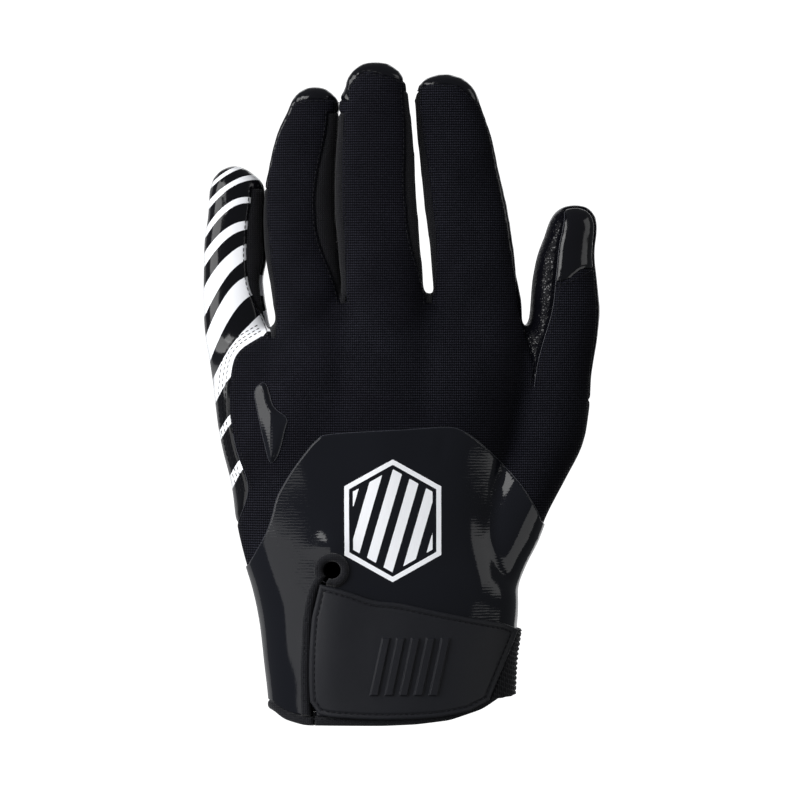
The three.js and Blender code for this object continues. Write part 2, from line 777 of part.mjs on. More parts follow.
const glove = new THREE.Group();
for (const [name, solid] of pieces) {
  const { vertProperties, triVerts } = solid.getMesh();
  const geometry = new THREE.BufferGeometry();
  geometry.setAttribute('position', new THREE.BufferAttribute(vertProperties, 3));
  geometry.setIndex(new THREE.BufferAttribute(triVerts, 1));
  const mesh = new THREE.Mesh(geometry, new THREE.MeshStandardMaterial(finishes[finishOf[name]]));
  mesh.name = name;
  glove.add(mesh);
}

export default glove;
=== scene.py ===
"""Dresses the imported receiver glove: cut cloth panels, film, strap, stitches and a plain studio."""
import logging
import math
from collections.abc import Callable, Iterable, Sequence
from dataclasses import dataclass, field
from enum import Enum

import bpy
import numpy as np
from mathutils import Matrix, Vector
from mathutils.bvhtree import BVHTree


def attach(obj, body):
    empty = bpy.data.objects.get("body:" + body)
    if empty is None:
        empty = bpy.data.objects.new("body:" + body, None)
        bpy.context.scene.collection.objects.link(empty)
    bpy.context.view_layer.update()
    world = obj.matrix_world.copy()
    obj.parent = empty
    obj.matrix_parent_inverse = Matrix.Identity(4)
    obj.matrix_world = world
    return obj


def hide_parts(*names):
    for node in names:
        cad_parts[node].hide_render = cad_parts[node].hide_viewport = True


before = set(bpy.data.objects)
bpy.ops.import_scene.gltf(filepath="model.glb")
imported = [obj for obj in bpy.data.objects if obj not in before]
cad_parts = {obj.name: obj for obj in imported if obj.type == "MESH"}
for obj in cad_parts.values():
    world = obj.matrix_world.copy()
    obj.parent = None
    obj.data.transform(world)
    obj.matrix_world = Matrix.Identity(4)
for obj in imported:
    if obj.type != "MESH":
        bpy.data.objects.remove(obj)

Array = np.ndarray
Field = Callable[[Array], Array]
Outline = list[tuple[float, float]]
Color = tuple[float, float, float]
Socket = bpy.types.NodeSocket
Material = bpy.types.Material

LOG = logging.getLogger("receiver_glove")
BODY = "root"
MM = 0.001
PIECE_GAP = 0.03
FAR = 1000.0
CAST_FROM = 200
BORDER_REACH = 2.0
GAP_STEPS = 24
NOISE_RANGE = (0.3, 0.7)
SHARP_ANGLE = math.radians(62)

HAND_LENGTH = 137.4
HAND_WIDTH = 103.0
HAND_DEPTH = 36.0
CUFF_DIP = 12.0
OUTSIDE = 0.12 * HAND_WIDTH


class Side(Enum):
    """The back of the hand or the palm."""

    BACK = -1
    PALM = 1


class Slot(Enum):
    """The finishes that the record names."""

    KNIT = "knit"
    GRIP = "grip"
    SIDE_WALL = "side_wall"
    FILM = "film"
    BINDING = "binding"
    STRAP = "strap"
    ELASTIC = "elastic"
    STITCH = "stitch"
    PRINT = "print"


@dataclass(frozen=True)
class Digit:
    """A finger or thumb in millimetres, its rows in shares: along, side, wide, palmward, deep."""

    length: float
    width: float
    depth: float
    root: tuple[float, float]
    rows: tuple[tuple[float, float, float, float, float], ...]

    @property
    def foot(self) -> tuple[float, float]:
        """Where it grows from: x and z."""
        return self.root[0] * HAND_WIDTH, self.root[1] * HAND_LENGTH

    @property
    def tip(self) -> float:
        """The height of its tip."""
        return self.foot[1] + self.length

    def at(self, side: float, along: float) -> tuple[float, float]:
        """A point on the digit from shares of its width and length."""
        x, z = self.foot
        return x + side * self.width, z + along * self.length


# Sections of the hand: up, across, wide, deep.
HAND_ROWS = (
    (-0.05, 0.026, 0.772, 1.25), (0.054, 0.028, 0.786, 1.278), (0.153, 0.024, 0.807, 1.306),
    (0.252, 0.024, 0.84, 1.292), (0.327, 0.014, 0.863, 1.278), (0.411, -0.019, 0.863, 1.222),
    (0.5, -0.042, 0.87, 1.167), (0.589, -0.045, 0.895, 1.111), (0.678, -0.047, 0.952, 1.069),
    (0.772, -0.044, 0.999, 1.028), (0.856, -0.036, 1.023, 0.944), (0.921, -0.017, 0.977, 0.806),
    (0.965, 0.033, 0.852, 0.611), (1.005, 0.083, 0.7, 0.389),
)
DIGITS = {
    "little": Digit(90.1, 22.1, 18, (-0.456, 0.723), (
        (0, -0.02, 0.63, 0.33, 1.03), (0.151, 0, 0.89, 0.33, 1.07), (0.264, -0.02, 0.99, 0.34, 1.07),
        (0.355, -0.07, 1.03, 0.37, 1.03), (0.491, -0.13, 0.965, 0.42, 1.0),
        (0.626, -0.158, 0.9, 0.45, 0.98), (0.717, -0.165, 0.865, 0.47, 0.96),
        (0.808, -0.148, 0.785, 0.48, 0.94), (0.891, -0.135, 0.775, 0.51, 0.9),
    )),
    "ring": Digit(107.1, 25.8, 17, (-0.234, 0.797), (
        (0, -0.033, 0.88, 0.12, 1.24), (0.159, -0.016, 0.835, 0.06, 1.27),
        (0.302, -0.046, 0.895, 0.13, 1.12), (0.476, -0.119, 0.935, 0.23, 0.99),
        (0.61, -0.152, 0.91, 0.3, 0.94), (0.698, -0.135, 0.875, 0.34, 0.91),
        (0.794, -0.089, 0.825, 0.39, 0.88), (0.873, -0.023, 0.745, 0.46, 0.85),
        (0.914, 0.026, 0.66, 0.51, 0.82),
    )),
    "middle": Digit(115.3, 28.6, 17, (0.017, 0.797), (
        (0, 0.018, 0.94, -0.06, 1.35), (0.147, 0.012, 0.975, -0.12, 1.34),
        (0.28, 0.006, 0.965, -0.08, 1.18), (0.442, -0.056, 0.945, 0, 1.01),
        (0.566, -0.095, 0.95, 0.06, 0.94), (0.649, -0.107, 0.925, 0.11, 0.92),
        (0.737, -0.107, 0.9, 0.16, 0.9), (0.841, -0.113, 0.83, 0.24, 0.88),
        (0.897, -0.119, 0.785, 0.28, 0.86),
    )),
    "index": Digit(111.2, 29, 17, (0.317, 0.797), (
        (0, 0, 1.01, 0.06, 1.33), (0.153, 0.029, 1.065, 0, 1.29), (0.291, 0, 1.055, 0.06, 1.18),
        (0.459, -0.059, 0.995, 0.18, 1.02), (0.587, -0.129, 0.985, 0.26, 0.95),
        (0.703, -0.202, 0.93, 0.35, 0.92), (0.81, -0.267, 0.885, 0.42, 0.89),
        (0.905, -0.346, 0.785, 0.49, 0.86),
    )),
    "thumb": Digit(141.4, 25, 23, (0.34, 0.252), (
        (0, -0.03, 0.82, 0.09, 0.96), (0.077, -0.014, 0.9, 0.09, 1.04),
        (0.135, 0.088, 0.94, 0.09, 1.09), (0.192, 0.218, 1.005, 0.1, 1.11),
        (0.25, 0.333, 1.02, 0.11, 1.13), (0.337, 0.571, 1.06, 0.13, 1.13),
        (0.423, 0.789, 1.115, 0.16, 1.1), (0.505, 0.894, 1.08, 0.18, 1.08),
        (0.596, 0.979, 0.98, 0.2, 1.04), (0.673, 1.057, 0.97, 0.23, 1.0),
        (0.74, 1.098, 0.96, 0.25, 0.96), (0.817, 1.098, 0.89, 0.27, 0.9),
        (0.885, 1.122, 0.775, 0.3, 0.83), (0.933, 1.193, 0.7, 0.33, 0.78),
    )),
}

# The side seam between back and palm: up, palmward.
SIDE_SEAM = (
    (-0.3, 0), (0.7, 0), (1.05, 0.02), (1.17, 0.07), (1.35, 0.13), (1.6, 0.19), (1.9, 0.24),
)
# Outlines on the hand: across, up.
LITTLE_SEAM = (
    (-0.393, 0.958), (-0.465, 0.921), (-0.492, 0.871), (-0.498, 0.772), (-0.487, 0.715),
    (-0.472, 0.666), (-0.436, 0.579), (-0.472, 0.495),
)
PATCH_TOP = (
    (-0.429, 0.396), (-0.378, 0.463), (-0.353, 0.515), (-0.337, 0.559), (-0.294, 0.616),
    (-0.251, 0.661), (-0.208, 0.698), (-0.158, 0.713), (0.086, 0.724), (0.211, 0.73),
    (0.261, 0.723), (0.314, 0.698), (0.38, 0.653), (0.456, 0.592), (0.505, 0.535), (0.523, 0.502),
)
INSET_OUTLINE = (
    (-0.386, 0.839), (-0.412, 0.817), (-0.4, 0.76), (-0.38, 0.693), (-0.36, 0.644),
    (-0.333, 0.666), (-0.314, 0.723), (-0.307, 0.752), (-0.35, 0.78), (-0.368, 0.824),
)
STRAP_TOP = (
    (-0.191, 0.347), (-0.102, 0.327), (-0.02, 0.307), (0.063, 0.3), (0.172, 0.282),
    (0.28, 0.265), (0.389, 0.25),
)
STRAP_END = ((0.428, 0.236), (0.34, 0.062))
STRAP_BOTTOM = ((0.28, 0.037), (0.172, 0.022), (0.007, 0.017), (-0.142, 0.022), (-0.195, 0.03))
STRAP_LEFT = ((-0.209, 0.06), (-0.212, 0.12), (-0.209, 0.2), (-0.203, 0.265))
ELASTIC_END = ((0.6, 0.225), (0.6, 0.088))
SLIT_PATH = (
    (-0.158, 0.381), (-0.195, 0.33), (-0.213, 0.26), (-0.218, 0.18), (-0.22, 0.1), (-0.213, -0.1),
)
# The cuff edge: across, share of the cuff dip.
CUFF_EDGE = (
    (-0.7, 0.5), (-0.353, 0.42), (-0.32, 0.16), (-0.25, 0), (0.007, 0), (0.115, 0.04),
    (0.225, 0.15), (0.333, 0.45), (0.426, 0.97), (0.7, 1.2),
)
# Side walls: left and right digit, insets of their seams and foot of the wall.
SIDE_WALLS = (
    ("little", "ring", 0.22, 0.05, 0.952),
    ("ring", "middle", 0.22, 0.045, 1.037),
    ("middle", "index", 0.125, 0.095, 1.037),
)
SIDE_WALL_TOP = 0.91
SIDE_WALL_LAP = 3.5
# Lower edges of the grip over each tip: side, along.
TIP_WRAPS = {
    "ring": ((-0.42, 0.93), (-0.15, 0.956), (0.2, 0.956), (0.42, 0.948)),
    "middle": ((-0.42, 0.9), (-0.15, 0.966), (0.15, 0.955), (0.42, 0.935)),
    "index": ((-0.42, 0.935), (-0.25, 0.962), (0.15, 0.965), (0.42, 0.905)),
}
# Seams on the thumb: side, along.
THUMB_SEAM = (
    (1.086, 1.05), (1.086, 0.966), (1.02, 0.901), (0.979, 0.832), (0.938, 0.762),
    (0.884, 0.719), (0.802, 0.673), (0.721, 0.618), (0.67, 0.56),
)
INDEX_SIDE_SEAM = ((0.5, 0.885), (0.474, 0.97), (0.45, 1.04))
THUMB_TIP_SEAM = ((0.95, 0.812), (1.143, 0.82), (1.415, 0.846), (2.2, 0.842))
THUMB_BASE_SEAM = (2.2, 0.5)
RIB_BLOCK = {"across": 0.092, "up": 0.146, "width": 24, "height": 19, "count": 5, "share": 0.52, "lean": 4}


def on_hand(rows: Iterable[Sequence[float]]) -> Outline:
    """Turns rows of across and up into points.

    Args:
        rows: shares of the hand's width and length.

    Returns:
        The points as x and z in millimetres.
    """
    return [(across * HAND_WIDTH, up * HAND_LENGTH) for across, up in rows]


def linked(name: str, data: bpy.types.ID) -> bpy.types.Object:
    """A new object in the scene."""
    item = bpy.data.objects.new(name, data)
    bpy.context.scene.collection.objects.link(item)
    return item


def finished_mesh(item: bpy.types.Object) -> bpy.types.Mesh:
    """Turns an object with live modifiers into a plain mesh, and removes the object.

    Args:
        item: the object.

    Returns:
        The mesh that its modifiers make.
    """
    source = item.data
    graph = bpy.context.evaluated_depsgraph_get()
    made = bpy.data.meshes.new_from_object(item.evaluated_get(graph))
    item.modifiers.clear()
    bpy.data.objects.remove(item)
    bpy.data.meshes.remove(source)
    return made


def ring_faces(rings: int, sides: int) -> list[tuple[int, ...]]:
    """The four-sided faces between rings of points.

    Args:
        rings: how many rings.
        sides: points of each ring.

    Returns:
        The faces.
    """
    return [
        (low + i, low + (i + 1) % sides, low + sides + (i + 1) % sides, low + sides + i)
        for low in range(0, (rings - 1) * sides, sides) for i in range(sides)
    ]


class Profile:
    """A smooth column of level sections: middle x, middle y, half width, half depth."""

    def __init__(self, heights: Sequence[float], columns: Sequence[Sequence[float]]) -> None:
        """Takes the heights and one row of four values for each.

        Args:
            heights: rising heights.
            columns: a row of four values for each.
        """
        self.heights = np.array(heights, float)
        self.columns = np.array(columns, float)
        self.slopes = np.gradient(self.columns, self.heights, axis=0)

    def at(self, z: Array) -> Array:
        """Sections at these heights.

        Args:
            z: heights in millimetres.

        Returns:
            One row of x, y, half width and half depth for each height.
        """
        z = np.clip(np.asarray(z, float), self.heights[0], self.heights[-1])
        i = np.clip(np.searchsorted(self.heights, z) - 1, 0, len(self.heights) - 2)
        span = self.heights[i + 1] - self.heights[i]
        t = ((z - self.heights[i]) / span)[:, None]
        span = span[:, None]
        low, high = self.columns[i], self.columns[i + 1]
        rise = self.slopes[i] * span * (t ** 3 - 2 * t ** 2 + t)
        fall = self.slopes[i + 1] * span * (t ** 3 - t ** 2)
        return low * (2 * t ** 3 - 3 * t ** 2 + 1) + high * (3 * t ** 2 - 2 * t ** 3) + rise + fall


@dataclass
class GloveForm:
    """The filled form of the glove, lofted from its section tables."""

    ring_spacing: float = 1.3
    sides: int = 72
    hand_sides: int = 144
    fullness: float = 2.3
    tip_bluntness: float = 0.75
    tip_droop: float = 0.04
    tip_rings: int = 16
    voxel: float = 1.2
    slack: float = 0.8
    slack_start: float = 130.0
    slack_run: float = 12.0
    touch: float = -0.95
    # Fingers that touch: left, right, start, run and share of the left one.
    touching: tuple[tuple[str, str, float, float, float], ...] = (
        ("little", "ring", 149.0, 10.0, 0.85),
        ("ring", "middle", 140.0, 6.0, 0.5),
    )
    # Cloth between the fingers: x, y, top, half width and half depth.
    webs: tuple[tuple[float, float, float, float, float], ...] = (
        (-36.0, 3.0, 129.4, 3.2, 7.0),
        (-13.3, 1.5, 144.8, 3.4, 8.0),
        (16.0, 1.5, 144.4, 3.4, 8.0),
    )

    def profile(self, digit: Digit) -> Profile:
        """The smooth column of a digit below its tip.

        Args:
            digit: the finger or thumb.

        Returns:
            Its column.
        """
        x, z = digit.foot
        return Profile(
            [z + row[0] * digit.length for row in digit.rows],
            [
                (x + row[1] * digit.width, row[3] * digit.depth, row[2] * digit.width / 2,
                 row[4] * digit.depth / 2)
                for row in digit.rows
            ],
        )

    def hand_profile(self) -> Profile:
        """The smooth column of the hand."""
        return Profile(
            [row[0] * HAND_LENGTH for row in HAND_ROWS],
            [
                (row[1] * HAND_WIDTH, 0.0, row[2] * HAND_WIDTH / 2, row[3] * HAND_DEPTH / 2)
                for row in HAND_ROWS
            ],
        )

    def digit_rings(self, digit: Digit) -> Array:
        """Sections of a digit with its rounded tip.

        Args:
            digit: the finger or thumb.

        Returns:
            Rows of x, y, z, half width and half depth.
        """
        column = self.profile(digit)
        first, last = column.heights[0], column.heights[-1]
        z = np.linspace(first, last, int((last - first) / self.ring_spacing))
        body = column.at(z)
        rows = np.column_stack([body[:, :2], z, body[:, 2:]])
        before, end = column.columns[-2], column.columns[-1]
        lean = (end[0] - before[0]) / (last - column.heights[-2])
        angle = np.linspace(0, 0.985, self.tip_rings + 1)[1:] * np.pi / 2
        top = last + (digit.tip - last) * np.sin(angle)
        shrink = np.cos(angle) ** self.tip_bluntness
        droop = digit.depth * self.tip_droop * np.minimum(1, angle / 1.4)
        tip = np.column_stack([
            end[0] + lean * (top - last) / 2, end[1] + droop, top, end[2] * shrink, end[3] * shrink,
        ])
        rings = np.vstack([rows, tip])
        if digit is not DIGITS["thumb"]:
            slim = self.slack * ease((rings[:, 2] - self.slack_start) / self.slack_run)
            rings[:, 3:] = np.maximum(rings[:, 3:] - slim[:, None], 0.05)
            rings[len(rows):, 2] -= self.slack * np.sin(angle)
        return rings

    def web_rings(self, web: tuple[float, float, float, float, float]) -> Array:
        """Sections of the cloth between two fingers.

        Args:
            web: x, y, top, half width and half depth.

        Returns:
            Rows of x, y, z and halves.
        """
        x, y, top, half_width, half_depth = web
        angle = np.linspace(0, 0.97, 8) * np.pi / 2
        z = np.r_[top - 22, top - 6 + 6 * np.sin(angle)]
        shrink = np.r_[1, np.cos(angle) ** 0.6]
        flat = np.full(len(z), 1.0)
        return np.column_stack([x * flat, y * flat, z, half_width * shrink, half_depth * shrink])

    def filled_out(self, points: Array, normals: Array) -> Array:
        """Gives the fingers back the slack that kept them apart.

        Args:
            points: rows of x, y, z.
            normals: their normals.

        Returns:
            The moved points.
        """
        edge = self.profile(DIGITS["index"]).at(points[:, 2])
        fingers = points[:, 0] < edge[:, 0] + edge[:, 2] + 1.2
        amount = self.slack * ease((points[:, 2] - self.slack_start) / self.slack_run) * fingers
        return points + normals * amount[:, None]

    def hand_rings(self) -> Array:
        """Rows of x, y, z, half width and half depth up the hand."""
        column = self.hand_profile()
        z = np.linspace(column.heights[0], column.heights[-1], 110)
        body = column.at(z)
        return np.column_stack([body[:, :2], z, body[:, 2:]])

    def loft(self, rings: Array, sides: int) -> tuple[Array, list[tuple[int, ...]]]:
        """A closed loft through level rings.

        Args:
            rings: rows of x, y, z, half width and half depth.
            sides: corners of each ring.

        Returns:
            Its points and its faces.
        """
        angle = np.linspace(0, 2 * np.pi, sides, endpoint=False)
        across = np.sign(np.cos(angle)) * np.abs(np.cos(angle)) ** (2 / self.fullness)
        deep = np.sign(np.sin(angle)) * np.abs(np.sin(angle)) ** (2 / self.fullness)
        x = rings[:, 0:1] + rings[:, 3:4] * across
        y = rings[:, 1:2] + rings[:, 4:5] * deep
        z = np.repeat(rings[:, 2:3], sides, axis=1)
        points = np.stack([x, y, z], axis=2).reshape(-1, 3)
        faces = ring_faces(len(rings), sides)
        faces.append(tuple(range(sides))[::-1])
        faces.append(tuple((len(rings) - 1) * sides + i for i in range(sides)))
        return points, faces

    def build(self) -> "Sheet":
        """The joined skin of hand and digits as one smooth sheet."""
        lofts = [self.loft(self.hand_rings(), self.hand_sides)]
        lofts += [self.loft(self.digit_rings(digit), self.sides) for digit in DIGITS.values()]
        lofts += [self.loft(self.web_rings(web), 24) for web in self.webs]
        points, faces, start = [], [], 0
        for corners, polygons in lofts:
            points.append(corners)
            faces += [tuple(start + i for i in polygon) for polygon in polygons]
            start += len(corners)
        mesh = bpy.data.meshes.new("form")
        mesh.from_pydata(np.vstack(points).tolist(), [], faces)
        form = linked("form", mesh)
        remesh = form.modifiers.new("skin", "REMESH")
        remesh.mode = "VOXEL"
        remesh.voxel_size = self.voxel
        skin = finished_mesh(form)
        sheet = Sheet.from_mesh(skin)
        bpy.data.meshes.remove(skin)
        sheet = sheet.relaxed(6, 0.5)
        sheet = sheet.relaxed(40, 0.5, self.web_mask(sheet.points, sheet.normals()))
        sheet = Sheet(self.filled_out(sheet.points, sheet.normals()), sheet.faces).relaxed(2, 0.4)
        for pair in self.touching:
            sheet = Sheet(self.drawn_together(sheet.points, *pair), sheet.faces)
        return sheet

    def drawn_together(
        self, points: Array, left: str, right: str, low: float, run: float, share: float
    ) -> Array:
        """Fills the flanks of two neighbouring fingers until they almost touch.

        Args:
            points: rows of x, y, z.
            left: the finger on the left.
            right: the finger on the right.
            low: height where it starts.
            run: over how much height it grows.
            share: how much of the way the left finger goes.

        Returns:
            The moved points.
        """
        x, z = points[:, 0], points[:, 2]
        a, b = self.profile(DIGITS[left]).at(z), self.profile(DIGITS[right]).at(z)
        near, far = a[:, 0] + a[:, 2], b[:, 0] - b[:, 2]
        top = DIGITS[left].tip - 1
        way = np.clip(far - near - self.touch, 0, 3) * ease((z - low) / run) * ease((top - z) / 5)
        middle = (near + far) / 2
        reach_left = np.clip((x - a[:, 0]) / a[:, 2], 0, 1) ** 2 * (x < middle) * (x > a[:, 0])
        reach_right = np.clip((b[:, 0] - x) / b[:, 2], 0, 1) ** 2 * (x >= middle) * (x < b[:, 0])
        out = points.copy()
        out[:, 0] += way * (share * reach_left - (1 - share) * reach_right)
        return out

    @staticmethod
    def web_mask(points: Array, normals: Array) -> Array:
        """Where fingers and hand flow into each other: 1 inside, 0 outside.

        Args:
            points: rows of x, y, z.
            normals: their normals.

        Returns:
            The mask.
        """
        high = np.clip(1 - np.abs(points[:, 2] - 127) / 18, 0, 1)
        facing = np.clip((np.abs(normals[:, 1]) - 0.55) / 0.3, 0, 1)
        palm = np.where(normals[:, 1] > 0, 1.0, 0.45)
        return np.minimum(1, high * 1.6) * facing * palm


@dataclass
class Sheet:
    """A triangle mesh in millimetres with values carried at its points."""

    points: Array
    faces: Array
    values: dict[str, Array] = field(default_factory=dict)

    @staticmethod
    def from_mesh(mesh: bpy.types.Mesh) -> "Sheet":
        """A sheet with the triangles of a Blender mesh.

        Args:
            mesh: the mesh.

        Returns:
            The sheet.
        """
        mesh.calc_loop_triangles()
        points = np.empty(len(mesh.vertices) * 3)
        mesh.vertices.foreach_get("co", points)
        faces = np.empty(len(mesh.loop_triangles) * 3, int)
        mesh.loop_triangles.foreach_get("vertices", faces)
        return Sheet(points.reshape(-1, 3), faces.reshape(-1, 3))

    def normals(self) -> Array:
        """Smooth normals at the points, weighted by area."""
        a, b, c = (self.points[self.faces[:, i]] for i in range(3))
        flat = np.cross(b - a, c - a)
        total = np.column_stack([
            sum(
                np.bincount(self.faces[:, corner], flat[:, axis], len(self.points))
                for corner in range(3)
            )
            for axis in range(3)
        ])
        return total / np.maximum(np.linalg.norm(total, axis=1, keepdims=True), 1e-12)

    def edges(self) -> Array:
        """The directed edges of all faces."""
        return np.vstack([self.faces[:, [0, 1]], self.faces[:, [1, 2]], self.faces[:, [2, 0]]])

    def relaxed(self, rounds: int, share: float, mask: Array | None = None) -> "Sheet":
        """The sheet after rounds of averaging each point with its neighbours.

        Args:
            rounds: how often.
            share: how far each round goes.
            mask: how much each point takes part.

        Returns:
            The smoother sheet.
        """
        edges = self.edges()
        count = np.maximum(np.bincount(edges.ravel(), minlength=len(self.points)), 1)
        points = self.points.copy()
        weight = share if mask is None else share * mask
        for _ in range(rounds):
            for axis in range(3):
                column = points[:, axis]
                total = np.bincount(edges[:, 0], column[edges[:, 1]], len(points))
                total += np.bincount(edges[:, 1], column[edges[:, 0]], len(points))
                points[:, axis] = column + weight * (total / count - column)
        return Sheet(points, self.faces, dict(self.values))

    def with_values(self, **values: Array) -> "Sheet":
        """The same sheet that carries more values."""
        return Sheet(self.points, self.faces, {**self.values, **values})

    def packed(self, faces: Array) -> "Sheet":
        """Only these faces and the points that they use."""
        used, index = np.unique(faces, return_inverse=True)
        values = {name: value[used] for name, value in self.values.items()}
        return Sheet(self.points[used], index.reshape(faces.shape), values)

    def near(self, level: Array, limit: float) -> "Sheet":
        """The faces with a corner whose level is under a limit."""
        return self.packed(self.faces[(level[self.faces] < limit).any(axis=1)])

    def grown(self, first: Array, second: Array, share: Array | float) -> dict[str, Array]:
        """The values at the points, and after them those between pairs of points.

        Args:
            first: one point of each pair.
            second: the other point.
            share: how near the other.

        Returns:
            The longer values.
        """
        return {
            name: np.concatenate([value, value[first] * (1 - share) + value[second] * share])
            for name, value in self.values.items()
        }

    def clipped(self, level: Array) -> "Sheet":
        """The part where a level is under zero, cut through the faces on its border.

        Args:
            level: one number for each point.

        Returns:
            The cut sheet.
        """
        level = np.where(np.abs(level) < 1e-6, 1e-6, level)
        inside = level < 0
        corner = inside[self.faces]
        count = corner.sum(axis=1)
        whole = self.faces[count == 3]
        pieces, pairs = [whole], []
        for wanted, number in ((True, 1), (False, 2)):
            faces = self.faces[count == number]
            first = np.argmax(corner[count == number] == wanted, axis=1)
            rows = np.arange(len(faces))
            turned = [faces[rows, (first + k) % 3] for k in range(3)]
            pairs.append(turned)
        (a, b, c), (p, q, r) = pairs
        ends = np.vstack([
            np.column_stack([a, b]), np.column_stack([a, c]),
            np.column_stack([p, q]), np.column_stack([p, r]),
        ])
        keys, index = np.unique(np.sort(ends, axis=1), axis=0, return_inverse=True)
        index = index.ravel() + len(self.points)
        one, two = len(a), len(p)
        ab, ac = index[:one], index[one:2 * one]
        pq, pr = index[2 * one:2 * one + two], index[2 * one + two:]
        pieces.append(np.column_stack([a, ab, ac]))
        pieces.append(np.column_stack([pq, q, r]))
        pieces.append(np.column_stack([pq, r, pr]))
        low, high = keys[:, 0], keys[:, 1]
        share = np.clip(level[low] / (level[low] - level[high]), 0.02, 0.98)
        cut = self.points[low] * (1 - share[:, None]) + self.points[high] * share[:, None]
        grown = Sheet(np.vstack([self.points, cut]), self.faces, self.grown(low, high, share))
        return grown.packed(np.vstack(pieces))

    def cut_with_normals(self, level: Field) -> tuple["Sheet", Array]:
        """The part where a level is under zero, with its normals from before the cut.

        Args:
            level: the level of any points.

        Returns:
            The cut sheet and one normal for each of its points.
        """
        sheet = self.with_values(**dict(zip("xyz", self.normals().T)))
        sheet = sheet.clipped(level(sheet.points))
        return sheet, np.column_stack([sheet.values.pop(axis) for axis in "xyz"])

    def refined(self, marked: Array) -> "Sheet":
        """Splits each edge whose two ends are marked, on the curve that the normals give.

        Args:
            marked: true at the points where the mesh becomes finer.

        Returns:
            The finer sheet.
        """
        normals = self.normals()
        sides = np.stack([self.faces[:, [1, 2]], self.faces[:, [2, 0]], self.faces[:, [0, 1]]], axis=1)
        split = marked[sides].all(axis=2)
        ends = np.sort(sides[split], axis=1)
        keys, index = np.unique(ends, axis=0, return_inverse=True)
        low, high = keys[:, 0], keys[:, 1]
        start, end = self.points[low], self.points[high]
        middle = (start + end) / 2
        bend = sum(
            ((middle - point) * normals[at]).sum(axis=1, keepdims=True) * normals[at]
            for point, at in ((start, low), (end, high))
        )
        points = np.vstack([self.points, middle - bend / 4])
        mid = np.full(self.faces.shape, -1)
        mid[split] = index.ravel() + len(self.points)
        number = split.sum(axis=1)
        out = [self.faces[number == 0]]
        for wanted, state in ((1, True), (2, False)):
            rows = np.flatnonzero(number == wanted)
            first = np.argmax(split[rows] == state, axis=1)
            a, b, c = (self.faces[rows, (first + k) % 3] for k in range(3))
            if wanted == 1:
                m = mid[rows, first]
                out += [np.column_stack([a, b, m]), np.column_stack([a, m, c])]
            else:
                mb, mc = mid[rows, (first + 1) % 3], mid[rows, (first + 2) % 3]
                out += [
                    np.column_stack([a, mc, mb]), np.column_stack([mc, b, mb]),
                    np.column_stack([b, c, mb]),
                ]
        rows = np.flatnonzero(number == 3)
        (a, b, c), (ma, mb, mc) = self.faces[rows].T, mid[rows].T
        out += [
            np.column_stack([a, mc, mb]), np.column_stack([mc, b, ma]),
            np.column_stack([mb, ma, c]), np.column_stack([ma, mb, mc]),
        ]
        return Sheet(points, np.vstack(out), self.grown(low, high, 0.5))

    def border_edges(self) -> Array:
        """Directed edges that only one face uses."""
        edges = self.edges()
        size = len(self.points)
        key = edges[:, 0] * size + edges[:, 1]
        back = edges[:, 1] * size + edges[:, 0]
        return edges[~np.isin(key, back)]

    def chains(self) -> list[Array]:
        """The border as ordered runs of point numbers."""
        follow = {int(a): int(b) for a, b in self.border_edges()}
        runs = []
        while follow:
            start, here = next(iter(follow.items()))
            del follow[start]
            run = [start, here]
            while here in follow:
                here = follow.pop(here)
                run.append(here)
            runs.append(np.array(run))
        return runs

    def thickened(self, outer: Array, inner: Array) -> "Sheet":
        """A closed wall between an outer and an inner place of each point.

        Args:
            outer: places of the outer skin.
            inner: places of the inner skin.

        Returns:
            The closed sheet.
        """
        size = len(self.points)
        rim = self.border_edges()
        a, b = rim[:, 0], rim[:, 1]
        faces = np.vstack([
            self.faces, self.faces[:, ::-1] + size,
            np.column_stack([b, a, a + size]), np.column_stack([b, a + size, b + size]),
        ])
        values = {name: np.concatenate([value, value]) for name, value in self.values.items()}
        return Sheet(np.vstack([outer, inner]), faces, values)

    def to_mesh(self, name: str) -> bpy.types.Mesh:
        """A Blender mesh in metres, with the values as its attributes.

        Args:
            name: its name.

        Returns:
            The mesh.
        """
        mesh = bpy.data.meshes.new(name)
        mesh.vertices.add(len(self.points))
        mesh.vertices.foreach_set("co", (self.points * MM).astype(np.float32).ravel())
        mesh.loops.add(self.faces.size)
        mesh.loops.foreach_set("vertex_index", self.faces.astype(np.int32).ravel())
        mesh.polygons.add(len(self.faces))
        mesh.polygons.foreach_set("loop_start", np.arange(0, self.faces.size, 3, dtype=np.int32))
        for key, value in self.values.items():
            layer = mesh.attributes.new(key, "FLOAT", "POINT")
            layer.data.foreach_set("value", value.astype(np.float32))
        mesh.update(calc_edges=True)
        mesh.validate()
        mesh.shade_smooth()
        mesh.set_sharp_from_angle(angle=SHARP_ANGLE)
        return mesh


def line_level(points: Array, path: Sequence[tuple[float, float]]) -> Array:
    """Distance to an open line seen from the back of the hand.

    Args:
        points: rows of x, y, z.
        path: the line as x and z.

    Returns:
        The distance.
    """
    nearest = np.full(len(points), 1e18)
    x, z = points[:, 0], points[:, 2]
    for (ax, az), (bx, bz) in zip(path, path[1:]):
        dx, dz = bx - ax, bz - az
        t = np.clip(((x - ax) * dx + (z - az) * dz) / max(dx * dx + dz * dz, 1e-12), 0, 1)
        nearest = np.minimum(nearest, (x - ax - t * dx) ** 2 + (z - az - t * dz) ** 2)
    return np.sqrt(nearest)


